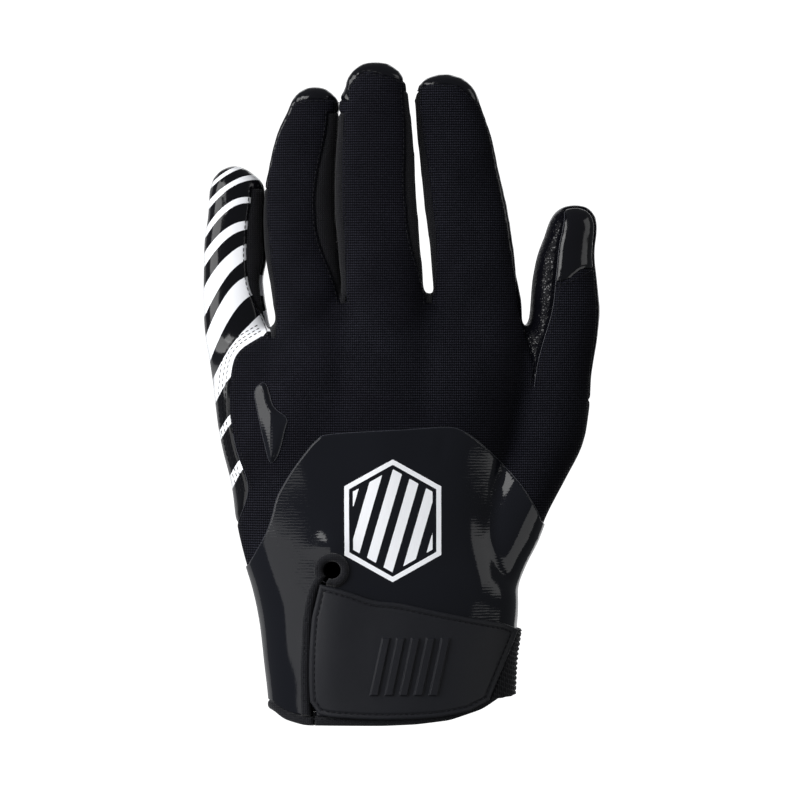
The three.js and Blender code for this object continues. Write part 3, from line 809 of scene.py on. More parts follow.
def outline_level(points: Array, outline: Outline) -> Array:
    """Signed distance to a closed outline seen from the back of the hand.

    Args:
        points: rows of x, y, z.
        outline: corners as x and z.

    Returns:
        The distance, negative inside.
    """
    closed = [*outline, outline[0]]
    x, z = points[:, 0], points[:, 2]
    inside = np.zeros(len(points), bool)
    for (ax, az), (bx, bz) in zip(closed, closed[1:]):
        if az != bz:
            inside ^= ((az > z) != (bz > z)) & (x < (bx - ax) * (z - az) / (bz - az) + ax)
    return np.where(inside, -1.0, 1.0) * line_level(points, closed)


def on_back(points: Array, level: Array) -> Array:
    """A level that holds on the back of the hand only."""
    return np.where(points[:, 1] < 0, level, FAR)


def rounding(level: Array, width: float, full: float) -> Array:
    """How far a rounded edge has dropped, from 0 inside to almost 1 at the border."""
    share = np.clip(1 + level / width, 0, 1)
    return 1 - np.sqrt(1 - full * share ** 2)


def smooth_outline(points: Outline, closed: bool = False, steps: int = 5) -> Outline:
    """A Catmull-Rom curve through the points of an outline.

    Args:
        points: the outline's corners.
        closed: whether it ends where it starts.
        steps: points for each span.

    Returns:
        The curve's points.
    """
    rows = np.array(points)
    count = len(rows)
    out = []
    for i in range(count if closed else count - 1):
        if closed:
            p0, p1, p2, p3 = (rows[(i + k) % count] for k in (-1, 0, 1, 2))
        else:
            p0, p1, p2, p3 = rows[max(i - 1, 0)], rows[i], rows[i + 1], rows[min(i + 2, count - 1)]
        for t in np.arange(steps) / steps:
            out.append(tuple(0.5 * (
                2 * p1 + (p2 - p0) * t + (2 * p0 - 5 * p1 + 4 * p2 - p3) * t * t
                + (3 * p1 - p0 - 3 * p2 + p3) * t ** 3
            )))
    if not closed:
        out.append(tuple(rows[-1]))
    return out


def ease(value: Array) -> Array:
    """Smooth step from 0 to 1."""
    value = np.clip(value, 0, 1)
    return value * value * (3 - 2 * value)


class Cutter:
    """Says where each panel lies on the form, in the order in which the panels are cut."""

    ORDER = (
        "thumb_tip_cap", "thumb_grip", "side_wall_little_ring", "side_wall_ring_middle",
        "side_wall_middle_index", "little_finger_grip", "palm_panel", "back_panel",
    )
    PANEL_FOOT = 3.0
    SLIT_HALF = 0.7
    KEYHOLE = 2.9

    def __init__(self, form: GloveForm) -> None:
        """Works out the outlines once."""
        self.columns = {name: form.profile(digit) for name, digit in DIGITS.items()}
        thumb = DIGITS["thumb"]
        seam = [thumb.at(*row) for row in THUMB_SEAM]
        index = on_hand(INDEX_SIDE_SEAM)
        corner = thumb.at(*THUMB_BASE_SEAM)
        top, base = thumb.tip + OUTSIDE, seam[-1][1]
        inner = index[-1][0] - OUTSIDE
        smooth = smooth_outline(seam)
        self.thumb_seam = smooth
        self.left_of_thumb = [*smooth, (inner, base), (inner, seam[0][1])]
        self.right_of_index = [
            (index[0][0], base - OUTSIDE), *index, (index[-1][0], top), (corner[0], top),
            (corner[0], base - OUTSIDE),
        ]
        self.above_foot = [seam[-1], corner, (corner[0], top), (inner, top), (inner, base)]
        tip_seam = smooth_outline([thumb.at(*row) for row in THUMB_TIP_SEAM])
        self.tip_cap = [*tip_seam, (corner[0], top), (tip_seam[0][0], top)]
        self.wall_seams = {
            f"side_wall_{row[0]}_{row[1]}": (self.wall_seam(row, 1), self.wall_seam(row, -1))
            for row in SIDE_WALLS
        }
        self.little = self.little_outline()
        self.wraps = [self.wrap(name) for name in TIP_WRAPS]
        knots = np.array([(a * HAND_WIDTH, dip * CUFF_DIP) for a, dip in CUFF_EDGE])
        across = np.arange(knots[0, 0], knots[-1, 0], 0.5)
        weights = np.hanning(15) / np.hanning(15).sum()
        heights = np.pad(np.interp(across, *knots.T), 7, "edge")
        self.cuff = np.column_stack([across, np.convolve(heights, weights, "valid")])
        self.slit = smooth_outline(on_hand(SLIT_PATH))

    def edge(self, name: str, side: int, z: float) -> float:
        """The left or right edge of a digit at a height."""
        row = self.columns[name].at(np.array([z]))[0]
        return row[0] + side * row[2]

    def gap(self, left: str, right: str, low: float, high: float) -> Outline:
        """The middle line between two neighbouring digits.

        Args:
            left: the digit on the left.
            right: the digit on the right.
            low: where it starts.
            high: where it ends.

        Returns:
            The line as x and z.
        """
        line = []
        for z in np.linspace(low, high, GAP_STEPS):
            far = self.edge(right, -1, z)
            near = self.edge(left, 1, z) if z < DIGITS[left].tip else far - OUTSIDE / 4
            line.append(((near + far) / 2, float(z)))
        return line

    def wall_seam(self, row: tuple[str, str, float, float, float], side: int) -> Outline:
        """The seam of a side wall on one of its two fingers, from the crotch up.

        Args:
            row: the side wall's row of the table.
            side: 1 for the finger on the left, -1 for the finger on the right.

        Returns:
            The seam as x and z.
        """
        left, right, left_inset, right_inset, foot = row
        name = left if side > 0 else right
        inset = (left_inset if side > 0 else right_inset) * DIGITS[name].width
        low = foot * HAND_LENGTH
        high = DIGITS[left].foot[1] + SIDE_WALL_TOP * DIGITS[left].length
        seam = []
        for z in np.linspace(low, high, GAP_STEPS):
            share = np.array((z - low) / (high - low))
            swell = float(ease(share / 0.4) * (1 - 0.55 * ease((share - 0.5) / 0.5)))
            seam.append((self.edge(name, side, z) - side * inset * swell, float(z)))
        return seam

    def little_outline(self) -> Outline:
        """The little finger and the side of the hand below it."""
        seam = smooth_outline(on_hand(LITTLE_SEAM))
        top = DIGITS["little"].tip + OUTSIDE
        gap = self.gap("little", "ring", seam[0][1], top)
        far = seam[-1][0] - OUTSIDE * 3
        return [*reversed(gap), *seam, (far, seam[-1][1] - OUTSIDE / 2), (far, top)]

    def wrap(self, name: str) -> Outline:
        """The grip over the tip of a finger.

        Args:
            name: the finger.

        Returns:
            The outline as x and z.
        """
        digit = DIGITS[name]
        column = self.columns[name]
        before, end = column.columns[-2], column.columns[-1]
        slope = (end[0] - before[0]) / (column.heights[-1] - column.heights[-2])
        lean = end[0] + slope * (digit.tip - column.heights[-1]) / 2 - digit.foot[0]
        lower = smooth_outline([
            (digit.at(side, along)[0] + lean, digit.at(side, along)[1])
            for side, along in TIP_WRAPS[name]
        ])
        top = digit.tip + OUTSIDE
        return [*lower, (lower[-1][0], top), (lower[0][0], top)]

    def palm_side(self, points: Array) -> Array:
        """Distance behind the side seam, negative on the palm.

        Args:
            points: rows of x, y, z.

        Returns:
            The distance.
        """
        seam = np.array(SIDE_SEAM)
        at = np.interp(points[:, 2], seam[:, 0] * HAND_LENGTH, seam[:, 1] * HAND_DEPTH)
        index_edge = ease((points[:, 0] - 34) / 8) * ease((points[:, 2] - 112) / 12)
        off_thumb = 1 - ease((points[:, 0] - (60 - 0.16 * (points[:, 2] - 110))) / 4)
        lean = 0.7 * np.tanh(points[:, 0] / 15)
        return at + lean - 3.4 * index_edge * off_thumb - points[:, 1]

    def zone(self, name: str, points: Array) -> Array:
        """How far points are from a panel's zone, negative inside.

        Args:
            name: the panel.
            points: rows of x, y, z.

        Returns:
            The distance.
        """
        palm = self.palm_side(points)
        left = outline_level(points, self.left_of_thumb)
        if name == "thumb_tip_cap":
            return np.maximum(np.maximum(outline_level(points, self.tip_cap), -palm), -left)
        if name == "thumb_grip":
            area = np.maximum(
                outline_level(points, self.right_of_index), outline_level(points, self.above_foot)
            )
            return np.maximum(area, np.minimum(palm, left))
        if name in self.wall_seams:
            near, far = self.wall_seams[name]
            flank = outline_level(points, [*near, *reversed(far)])
            return np.maximum(flank, -palm - SIDE_WALL_LAP)
        if name == "little_finger_grip":
            level = outline_level(points, self.little)
            free = ease((points[:, 2] - LITTLE_SEAM[0][1] * HAND_LENGTH - 2) / 3)
            return level + 2 * np.sign(level) * free
        if name == "palm_panel":
            return np.minimum.reduce([palm, *(outline_level(points, wrap) for wrap in self.wraps)])
        return np.full(len(points), -FAR)

    def above_cuff(self, points: Array) -> Array:
        """Height above the cuff edge."""
        return points[:, 2] - np.interp(points[:, 0], *self.cuff.T)

    def slit_level(self, points: Array, half: float, radius: float) -> Array:
        """Distance from the open slit and its keyhole, negative inside, on the back only."""
        x, z = self.slit[0]
        hole = np.hypot(points[:, 0] - x, points[:, 2] - z) - radius
        return on_back(points, np.minimum(line_level(points, self.slit) - half, hole))

    def panel(self, name: str, points: Array) -> Array:
        """How far points are from a panel as cut, negative inside.

        Args:
            name: the panel.
            points: rows of x, y, z.

        Returns:
            The distance to its border.
        """
        own = self.zone(name, points)
        for other in self.ORDER[:self.ORDER.index(name)]:
            own = np.maximum(own, -self.zone(other, points))
        own = np.maximum(own, self.PANEL_FOOT - self.above_cuff(points))
        return np.maximum(own, -self.slit_level(points, self.SLIT_HALF, self.KEYHOLE))


@dataclass(frozen=True)
class Fold:
    """A dent or ridge along a line, in millimetres: ends as x and z, height, width and side."""

    start: tuple[float, float]
    end: tuple[float, float]
    height: float
    width: float
    side: Side = Side.BACK

    def lift(self, points: Array, normals: Array) -> Array:
        """How far it moves points along their normals.

        Args:
            points: rows of x, y, z.
            normals: their normals.

        Returns:
            One height for each point.
        """
        (ax, az), (bx, bz) = self.start, self.end
        dx, dz = bx - ax, bz - az
        raw = ((points[:, 0] - ax) * dx + (points[:, 2] - az) * dz) / (dx * dx + dz * dz)
        t = np.clip(raw, 0, 1)
        away = np.hypot(points[:, 0] - ax - t * dx, points[:, 2] - az - t * dz)
        facing = ease(normals[:, 1] * self.side.value * 1.8 + 0.3)
        fade = 0.35 + 0.65 * np.sin(np.pi * np.clip(raw, 0.02, 0.98))
        return self.height * np.exp(-(away / self.width) ** 2) * facing * fade


FOLDS = (
    Fold((0, 60), (2, 136), 0.9, 9.0),
    Fold((-27, 88), (-25, 134), 0.6, 8.0),
    Fold((27, 78), (33, 132), 0.6, 9.0),
    Fold((-13, 104), (-13.5, 140), -0.9, 4.0),
    Fold((15, 104), (16.5, 140), -0.9, 4.0),
    Fold((-39, 108), (-37, 131), -0.6, 3.5),
    Fold((44, 84), (52, 118), -1.3, 5.5),
    Fold((50, 66), (58, 88), 0.5, 6.0),
    Fold((-45, 60), (-41, 30), -0.5, 4.5),
    Fold((-33, 20), (-30, 44), 0.35, 4.0),
    Fold((36, 40), (42, 58), -0.5, 4.0),
    Fold((44, 46), (50, 66), -0.4, 3.0),
    Fold((-29, 158), (-20, 161), -0.25, 3.0),
    Fold((-7, 164), (6, 165), -0.25, 3.0),
    Fold((24, 160), (38, 162), -0.25, 3.0),
    Fold((53, 128), (59, 121), -0.3, 2.0),
    Fold((-14, 56), (-20, 6), 1.3, 8.0),
    Fold((-16, 65), (-17, 56), 1.5, 6.0),
    Fold((21, 99), (20, 88), -0.3, 1.4),
    Fold((40, 78), (36, 60), -0.6, 3.0),
    Fold((30, 62), (38, 36), 0.6, 6.0),
    Fold((-30, 100), (30, 104), -1.0, 3.5, Side.PALM),
    Fold((-44, 84), (18, 92), -0.9, 3.5, Side.PALM),
    Fold((22, 20), (34, 84), -1.1, 5.0, Side.PALM),
    Fold((-34, 156), (-18, 158), -0.6, 2.2, Side.PALM),
    Fold((-30, 184), (-18, 186), -0.5, 2.0, Side.PALM),
    Fold((-10, 160), (8, 160), -0.6, 2.2, Side.PALM),
    Fold((-10, 190), (6, 191), -0.5, 2.0, Side.PALM),
    Fold((20, 156), (42, 158), -0.6, 2.2, Side.PALM),
    Fold((17, 186), (34, 187), -0.5, 2.0, Side.PALM),
    Fold((-58, 142), (-44, 143), -0.4, 2.0, Side.PALM),
    Fold((52, 120), (72, 117), -0.6, 2.4, Side.PALM),
)
# Creases of the shiny grip on the inner side of the thumb.
CRINKLES = tuple(
    Fold((50.5 + 0.17 * (z - 118), z), (56.5 + 0.13 * (z - 118), z + 2.5), height, width)
    for z, height, width in (
        (118, -0.25, 0.8), (122, 0.3, 0.9), (127, -0.3, 0.8), (131, 0.22, 0.7), (137, -0.3, 0.9),
        (142, 0.25, 0.8), (148, -0.25, 0.8), (153, 0.2, 0.7), (158, -0.25, 0.9), (164, 0.2, 0.8),
    )
)


class Graph:
    """Adds the nodes of one tree and fills their inputs."""

    def __init__(self, tree: bpy.types.NodeTree) -> None:
        """Keeps the tree."""
        self.tree = tree

    def feed(self, socket: Socket, value: object) -> None:
        """Links another node's socket to an input, or sets the input to a value.

        Args:
            socket: the input.
            value: the other socket or the value.
        """
        if isinstance(value, Socket):
            self.tree.links.new(value, socket)
        else:
            socket.default_value = value

    def add(
        self, kind: str, inputs: dict[str | int, object] | None = None, **settings: object
    ) -> bpy.types.Node:
        """A new node.

        Args:
            kind: its type.
            inputs: sockets or values for its inputs.
            **settings: its properties.

        Returns:
            The node.
        """
        node = self.tree.nodes.new(kind)
        for name, value in settings.items():
            setattr(node, name, value)
        for key, value in (inputs or {}).items():
            self.feed(node.inputs[key], value)
        return node


class Nodes(Graph):
    """The shader nodes of one material."""

    def __init__(self, name: str) -> None:
        """Starts a material with a Principled shader."""
        self.material = bpy.data.materials.new(name)
        self.material.use_nodes = True
        super().__init__(self.material.node_tree)
        self.shader = self.tree.nodes["Principled BSDF"]
        self.place = self.add("ShaderNodeTexCoord").outputs["Object"]

    def set(self, **values: object) -> None:
        """Feeds the shader's own sockets; underscores stand for spaces."""
        for name, value in values.items():
            self.feed(self.shader.inputs[name.replace("_", " ")], value)

    def wave(self, axis: str, pitch: float, distortion: float) -> Socket:
        """Bands across an axis with a pitch in metres.

        Args:
            axis: the axis.
            pitch: distance from band to band.
            distortion: how wavy they are.

        Returns:
            Their value.
        """
        inputs = {
            "Vector": self.place, "Scale": 2 * math.pi / (20 * pitch), "Distortion": distortion,
            "Detail": 2.0,
        }
        node = self.add("ShaderNodeTexWave", inputs, bands_direction=axis, wave_profile="SIN")
        return node.outputs["Fac"]

    def noise(
        self, size: float, detail: float, roughness: float = 0.5,
        squeeze: tuple[float, float, float] | None = None,
    ) -> Socket:
        """Noise whose blobs have about this size in metres.

        Args:
            size: the size of its blobs.
            detail: how many finer layers it has.
            roughness: how strong those are.
            squeeze: how much narrower it is along each axis.

        Returns:
            Its value.
        """
        place = self.place
        if squeeze:
            mapping = self.add("ShaderNodeMapping", {"Scale": squeeze, "Vector": place})
            place = mapping.outputs["Vector"]
        inputs = {"Scale": 1 / size, "Detail": detail, "Roughness": roughness, "Vector": place}
        return self.add("ShaderNodeTexNoise", inputs).outputs["Fac"]

    def remap(self, source: Socket, low: float, high: float, start: float, end: float) -> Socket:
        """Maps the range from low to high to the one from start to end, clamped."""
        inputs = {"Value": source, "From Min": low, "From Max": high, "To Min": start, "To Max": end}
        return self.add("ShaderNodeMapRange", inputs).outputs["Result"]

    def spread(self, noise: Socket, start: float, end: float) -> Socket:
        """Maps the usual range of a noise to the one from start to end."""
        return self.remap(noise, *NOISE_RANGE, start, end)

    def math(self, operation: str, first: object, second: object) -> Socket:
        """Joins two sockets or numbers by an operation."""
        return self.add("ShaderNodeMath", {0: first, 1: second}, operation=operation).outputs["Value"]

    def tint(self, share: Socket, dark: Color, light: Color) -> Socket:
        """A colour between two colours."""
        inputs = {"Factor": share, "A": (*dark, 1), "B": (*light, 1)}
        return self.add("ShaderNodeMix", inputs, data_type="RGBA").outputs["Result"]

    def shades(self, share: Socket, color: Color, low: float, high: float) -> Socket:
        """A colour between two multiples of one colour."""
        return self.tint(share, tuple(low * c for c in color), tuple(high * c for c in color))

    def bump(self, *layers: tuple[Socket, float]) -> None:
        """Bumps the shader by heights, each with its depth in metres."""
        under = {}
        for height, depth in layers:
            node = self.add("ShaderNodeBump", {"Distance": depth, "Height": height, **under})
            under = {"Normal": node.outputs["Normal"]}
        self.set(**under)


@dataclass(frozen=True)
class KnitFinish:
    """Near-black knit with fine ribs across the fingers."""

    name: str = "rib_knit"
    dark: Color = (0.0006, 0.0006, 0.0013)
    light: Color = (0.03, 0.0305, 0.044)
    pitch: float = 0.00086
    depth: float = 0.00024
    sheen: float = 0.012

    def build(self) -> Material:
        """The knit's material."""
        nodes = Nodes(self.name)
        rib = nodes.wave("Z", self.pitch, 0.6)
        loop = nodes.wave("X", self.pitch * 0.85, 0.9)
        fuzz = nodes.noise(0.0006, 4, 0.7)
        cloud = nodes.noise(0.02, 2)
        knit = nodes.math("ADD", nodes.math("MULTIPLY", rib, 0.6), nodes.math("MULTIPLY", loop, 0.4))
        shade = nodes.math("MULTIPLY", knit, nodes.spread(cloud, 0.75, 1.0))
        shade = nodes.math("MULTIPLY", shade, nodes.spread(fuzz, 0.7, 1.0))
        shade = nodes.math("POWER", shade, 2.2)
        nodes.set(
            Base_Color=nodes.tint(shade, self.dark, self.light),
            Roughness=nodes.remap(knit, 0, 1, 0.85, 0.58), Sheen_Weight=self.sheen,
            Sheen_Roughness=0.45, Sheen_Tint=(0.6, 0.62, 0.75, 1), Specular_IOR_Level=0.1,
        )
        nodes.bump((knit, self.depth), (fuzz, 0.00008))
        return nodes.material


@dataclass(frozen=True)
class GripFinish:
    """Glossy black grip, with white printed bands where the piece carries them."""

    name: str = "gloss_grip"
    color: Color = (0.0018, 0.0018, 0.0028)
    white: Color = (0.86, 0.87, 0.9)
    roughness: float = 0.1
    wrinkle: float = 0.00035
    grain: float = 0.000025
    coat: float = 0.35
    banded: bool = False
    specked: bool = False

    def build(self) -> Material:
        """The grip's material."""
        nodes = Nodes(self.name)
        slow = nodes.noise(0.011, 2)
        leather = nodes.noise(0.0009, 3, 0.6)
        nodes.set(
            Roughness=nodes.spread(leather, self.roughness, self.roughness + 0.09),
            Specular_IOR_Level=0.5, Coat_Weight=self.coat, Coat_Roughness=0.06,
        )
        if self.banded:
            band = nodes.add("ShaderNodeAttribute", attribute_name="band").outputs["Fac"]
            share = nodes.remap(band, -0.07, 0.07, 0, 1)
            nodes.set(Base_Color=nodes.tint(share, self.color, self.white))
        else:
            nodes.set(Base_Color=nodes.shades(slow, self.color, 1, 1.8))
        if self.specked:
            speck = nodes.noise(0.0006, 1)
            nodes.set(Specular_IOR_Level=nodes.remap(speck, 0.6, 0.66, 0.06, 1.0))
        nodes.bump((slow, self.wrinkle), (leather, self.grain))
        return nodes.material


@dataclass(frozen=True)
class FilmFinish:
    """Smooth dark grey film with a soft mirror gloss."""

    name: str = "dark_film"
    color: Color = (0.005, 0.0054, 0.0075)
    roughness: float = 0.075

    def build(self) -> Material:
        """The film's material."""
        nodes = Nodes(self.name)
        slow = nodes.noise(0.024, 1)
        grain = nodes.noise(0.0007, 2)
        rib = nodes.wave("Z", 0.00098, 1.5)
        streak = nodes.noise(0.004, 2, 0.6, (1.0, 1.0, 7.0))
        nodes.set(
            Base_Color=nodes.shades(slow, self.color, 1, 1.35), Specular_IOR_Level=0.5,
            Roughness=nodes.spread(grain, self.roughness, self.roughness + 0.03),
        )
        nodes.bump((slow, 0.00045), (streak, 0.000022), (rib, 0.000008), (grain, 0.00001))
        return nodes.material


@dataclass(frozen=True)
class RubberFinish:
    """Matte rubberised strap with a fine grain."""

    name: str = "matte_rubber"
    color: Color = (0.0068, 0.0072, 0.0095)

    def build(self) -> Material:
        """The strap's material."""
        nodes = Nodes(self.name)
        grain = nodes.noise(0.00035, 3, 0.6)
        slow = nodes.noise(0.015, 2)
        nodes.set(
            Base_Color=nodes.shades(slow, self.color, 1, 1.3), Specular_IOR_Level=0.42,
            Roughness=nodes.spread(grain, 0.5, 0.62),
        )
        nodes.bump((slow, 0.0003), (grain, 0.00003))
        return nodes.material


@dataclass(frozen=True)
class WovenFinish:
    """Black woven tape, elastic or mesh: two crossed bands of threads."""

    name: str
    color: Color = (0.0032, 0.0033, 0.0048)
    first: tuple[str, float] = ("Z", 0.0007)
    second: tuple[str, float] = ("X", 0.0007)
    depth: float = 0.00016

    def build(self) -> Material:
        """The tape's material."""
        nodes = Nodes(self.name)
        weave = nodes.math("MULTIPLY", nodes.wave(*self.first, 0.8), nodes.wave(*self.second, 0.8))
        fuzz = nodes.noise(0.0005, 3, 0.6)
        nodes.set(
            Base_Color=nodes.shades(weave, self.color, 0.7, 2.0), Specular_IOR_Level=0.3,
            Roughness=nodes.spread(fuzz, 0.72, 0.92), Sheen_Weight=0.1, Sheen_Roughness=0.5,
        )
        nodes.bump((weave, self.depth), (fuzz, 0.00005))
        return nodes.material


@dataclass(frozen=True)
class ThreadFinish:
    """Black thread with a soft shine and twisted strands."""

    name: str = "sewing_thread"
    color: Color = (0.0035, 0.0035, 0.005)

    def build(self) -> Material:
        """The thread's material."""
        nodes = Nodes(self.name)
        strand = nodes.wave("DIAGONAL", 0.0003, 1.0)
        nodes.set(
            Base_Color=nodes.shades(strand, self.color, 0.6, 1.8), Roughness=0.55,
            Specular_IOR_Level=0.3, Sheen_Weight=0.02,
        )
        nodes.bump((strand, 0.00005))
        return nodes.material


@dataclass(frozen=True)
class PrintFinish:
    """White transfer print with a faint grain."""

    name: str = "white_print"
    color: Color = (0.84, 0.85, 0.88)

    def build(self) -> Material:
        """The print's material."""
        nodes = Nodes(self.name)
        grain = nodes.noise(0.0006, 3)
        nodes.set(
            Base_Color=nodes.shades(grain, self.color, 0.94, 1), Roughness=0.38,
            Specular_IOR_Level=0.4,
        )
        nodes.bump((grain, 0.00002))
        return nodes.material


class LineTree(Graph):
    """Base of the geometry trees that follow lines: a group with named inputs."""

    def __init__(self, name: str, sizes: dict[str, float]) -> None:
        """Starts a group with a geometry input, sizes and a material.

        Args:
            name: the group's name.
            sizes: its sizes in metres.
        """
        super().__init__(bpy.data.node_groups.new(name, "GeometryNodeTree"))
        face = self.tree.interface
        face.new_socket("Geometry", in_out="INPUT", socket_type="NodeSocketGeometry")
        self.sockets = {}
        for key, value in sizes.items():
            self.sockets[key] = face.new_socket(key, in_out="INPUT", socket_type="NodeSocketFloat")
            self.sockets[key].default_value = value
        self.sockets["Material"] = face.new_socket(
            "Material", in_out="INPUT", socket_type="NodeSocketMaterial"
        )
        face.new_socket("Geometry", in_out="OUTPUT", socket_type="NodeSocketGeometry")
        self.entry = self.add("NodeGroupInput").outputs
        self.curve = self.add("GeometryNodeMeshToCurve", {"Mesh": self.entry["Geometry"]}).outputs[0]

    def close(self, source: Socket) -> None:
        """Shades the result smooth and ends the tree in Realize Instances and Set Material.

        Args:
            source: the geometry so far.
        """
        smooth = self.add("GeometryNodeSetShadeSmooth", {"Geometry": source})
        real = self.add("GeometryNodeRealizeInstances", {0: smooth.outputs[0]})
        paint = self.add("GeometryNodeSetMaterial", {
            "Geometry": real.outputs[0], "Material": self.entry["Material"],
        })
        self.add("NodeGroupOutput", {0: paint.outputs[0]})

    def run(
        self, name: str, lines: Sequence[Array], material: Material, **sizes: float
    ) -> bpy.types.Mesh:
        """Runs the tree over lines and returns plain mesh.

        Args:
            name: the name of the result.
            lines: each line as rows of x, y, z in millimetres.
            material: the finish.
            **sizes: inputs of the tree in metres, underscores for spaces.

        Returns:
            The mesh in metres.
        """
        edges, start = [], 0
        for line in lines:
            edges += [(start + i, start + i + 1) for i in range(len(line) - 1)]
            start += len(line)
        mesh = bpy.data.meshes.new(name + "_lines")
        mesh.from_pydata((np.vstack(lines) * MM).tolist(), edges, [])
        carrier = linked(name + "_lines", mesh)
        modifier = carrier.modifiers.new("tree", "NODES")
        modifier.node_group = self.tree
        for key, value in {**sizes, "Material": material}.items():
            modifier[self.sockets[key.replace("_", " ")].identifier] = value
        made = finished_mesh(carrier)
        made.name = name
        made.shade_smooth()
        return made


class StitchTree(LineTree):
    """Lays one rounded thread stitch after another along each line."""

    def __init__(self) -> None:
        """Builds the tree."""
        super().__init__("stitches", {"Pitch": 0.002, "Stitch Length": 0.0014, "Thread Radius": 0.0002})
        spots = self.add("GeometryNodeCurveToPoints", {
            "Curve": self.curve, "Length": self.entry["Pitch"],
        }, mode="LENGTH")
        ball = self.add("GeometryNodeMeshUVSphere", {"Segments": 8, "Rings": 6, "Radius": 1.0})
        turn = self.add(
            "FunctionNodeAlignRotationToVector", {"Vector": spots.outputs["Tangent"]}, axis="Z"
        )
        half = self.add(
            "ShaderNodeMath", {0: self.entry["Stitch Length"], 1: 0.5}, operation="MULTIPLY"
        )
        radius = self.entry["Thread Radius"]
        size = self.add("ShaderNodeCombineXYZ", {"X": radius, "Y": radius, "Z": half.outputs[0]})
        lay = self.add("GeometryNodeInstanceOnPoints", {
            "Points": spots.outputs["Points"], "Instance": ball.outputs["Mesh"],
            "Rotation": turn.outputs["Rotation"], "Scale": size.outputs["Vector"],
        })
        self.close(lay.outputs["Instances"])


class CordTree(LineTree):
    """Sweeps a round cord along each line."""

    def __init__(self) -> None:
        """Builds the tree."""
        super().__init__("cords", {"Radius": 0.0004})
        ring = self.add("GeometryNodeCurvePrimitiveCircle", {
            "Resolution": 8, "Radius": self.entry["Radius"],
        }, mode="RADIUS")
        sweep = self.add("GeometryNodeCurveToMesh", {
            "Curve": self.curve, "Profile Curve": ring.outputs["Curve"], "Fill Caps": True,
        })
        self.close(sweep.outputs["Mesh"])


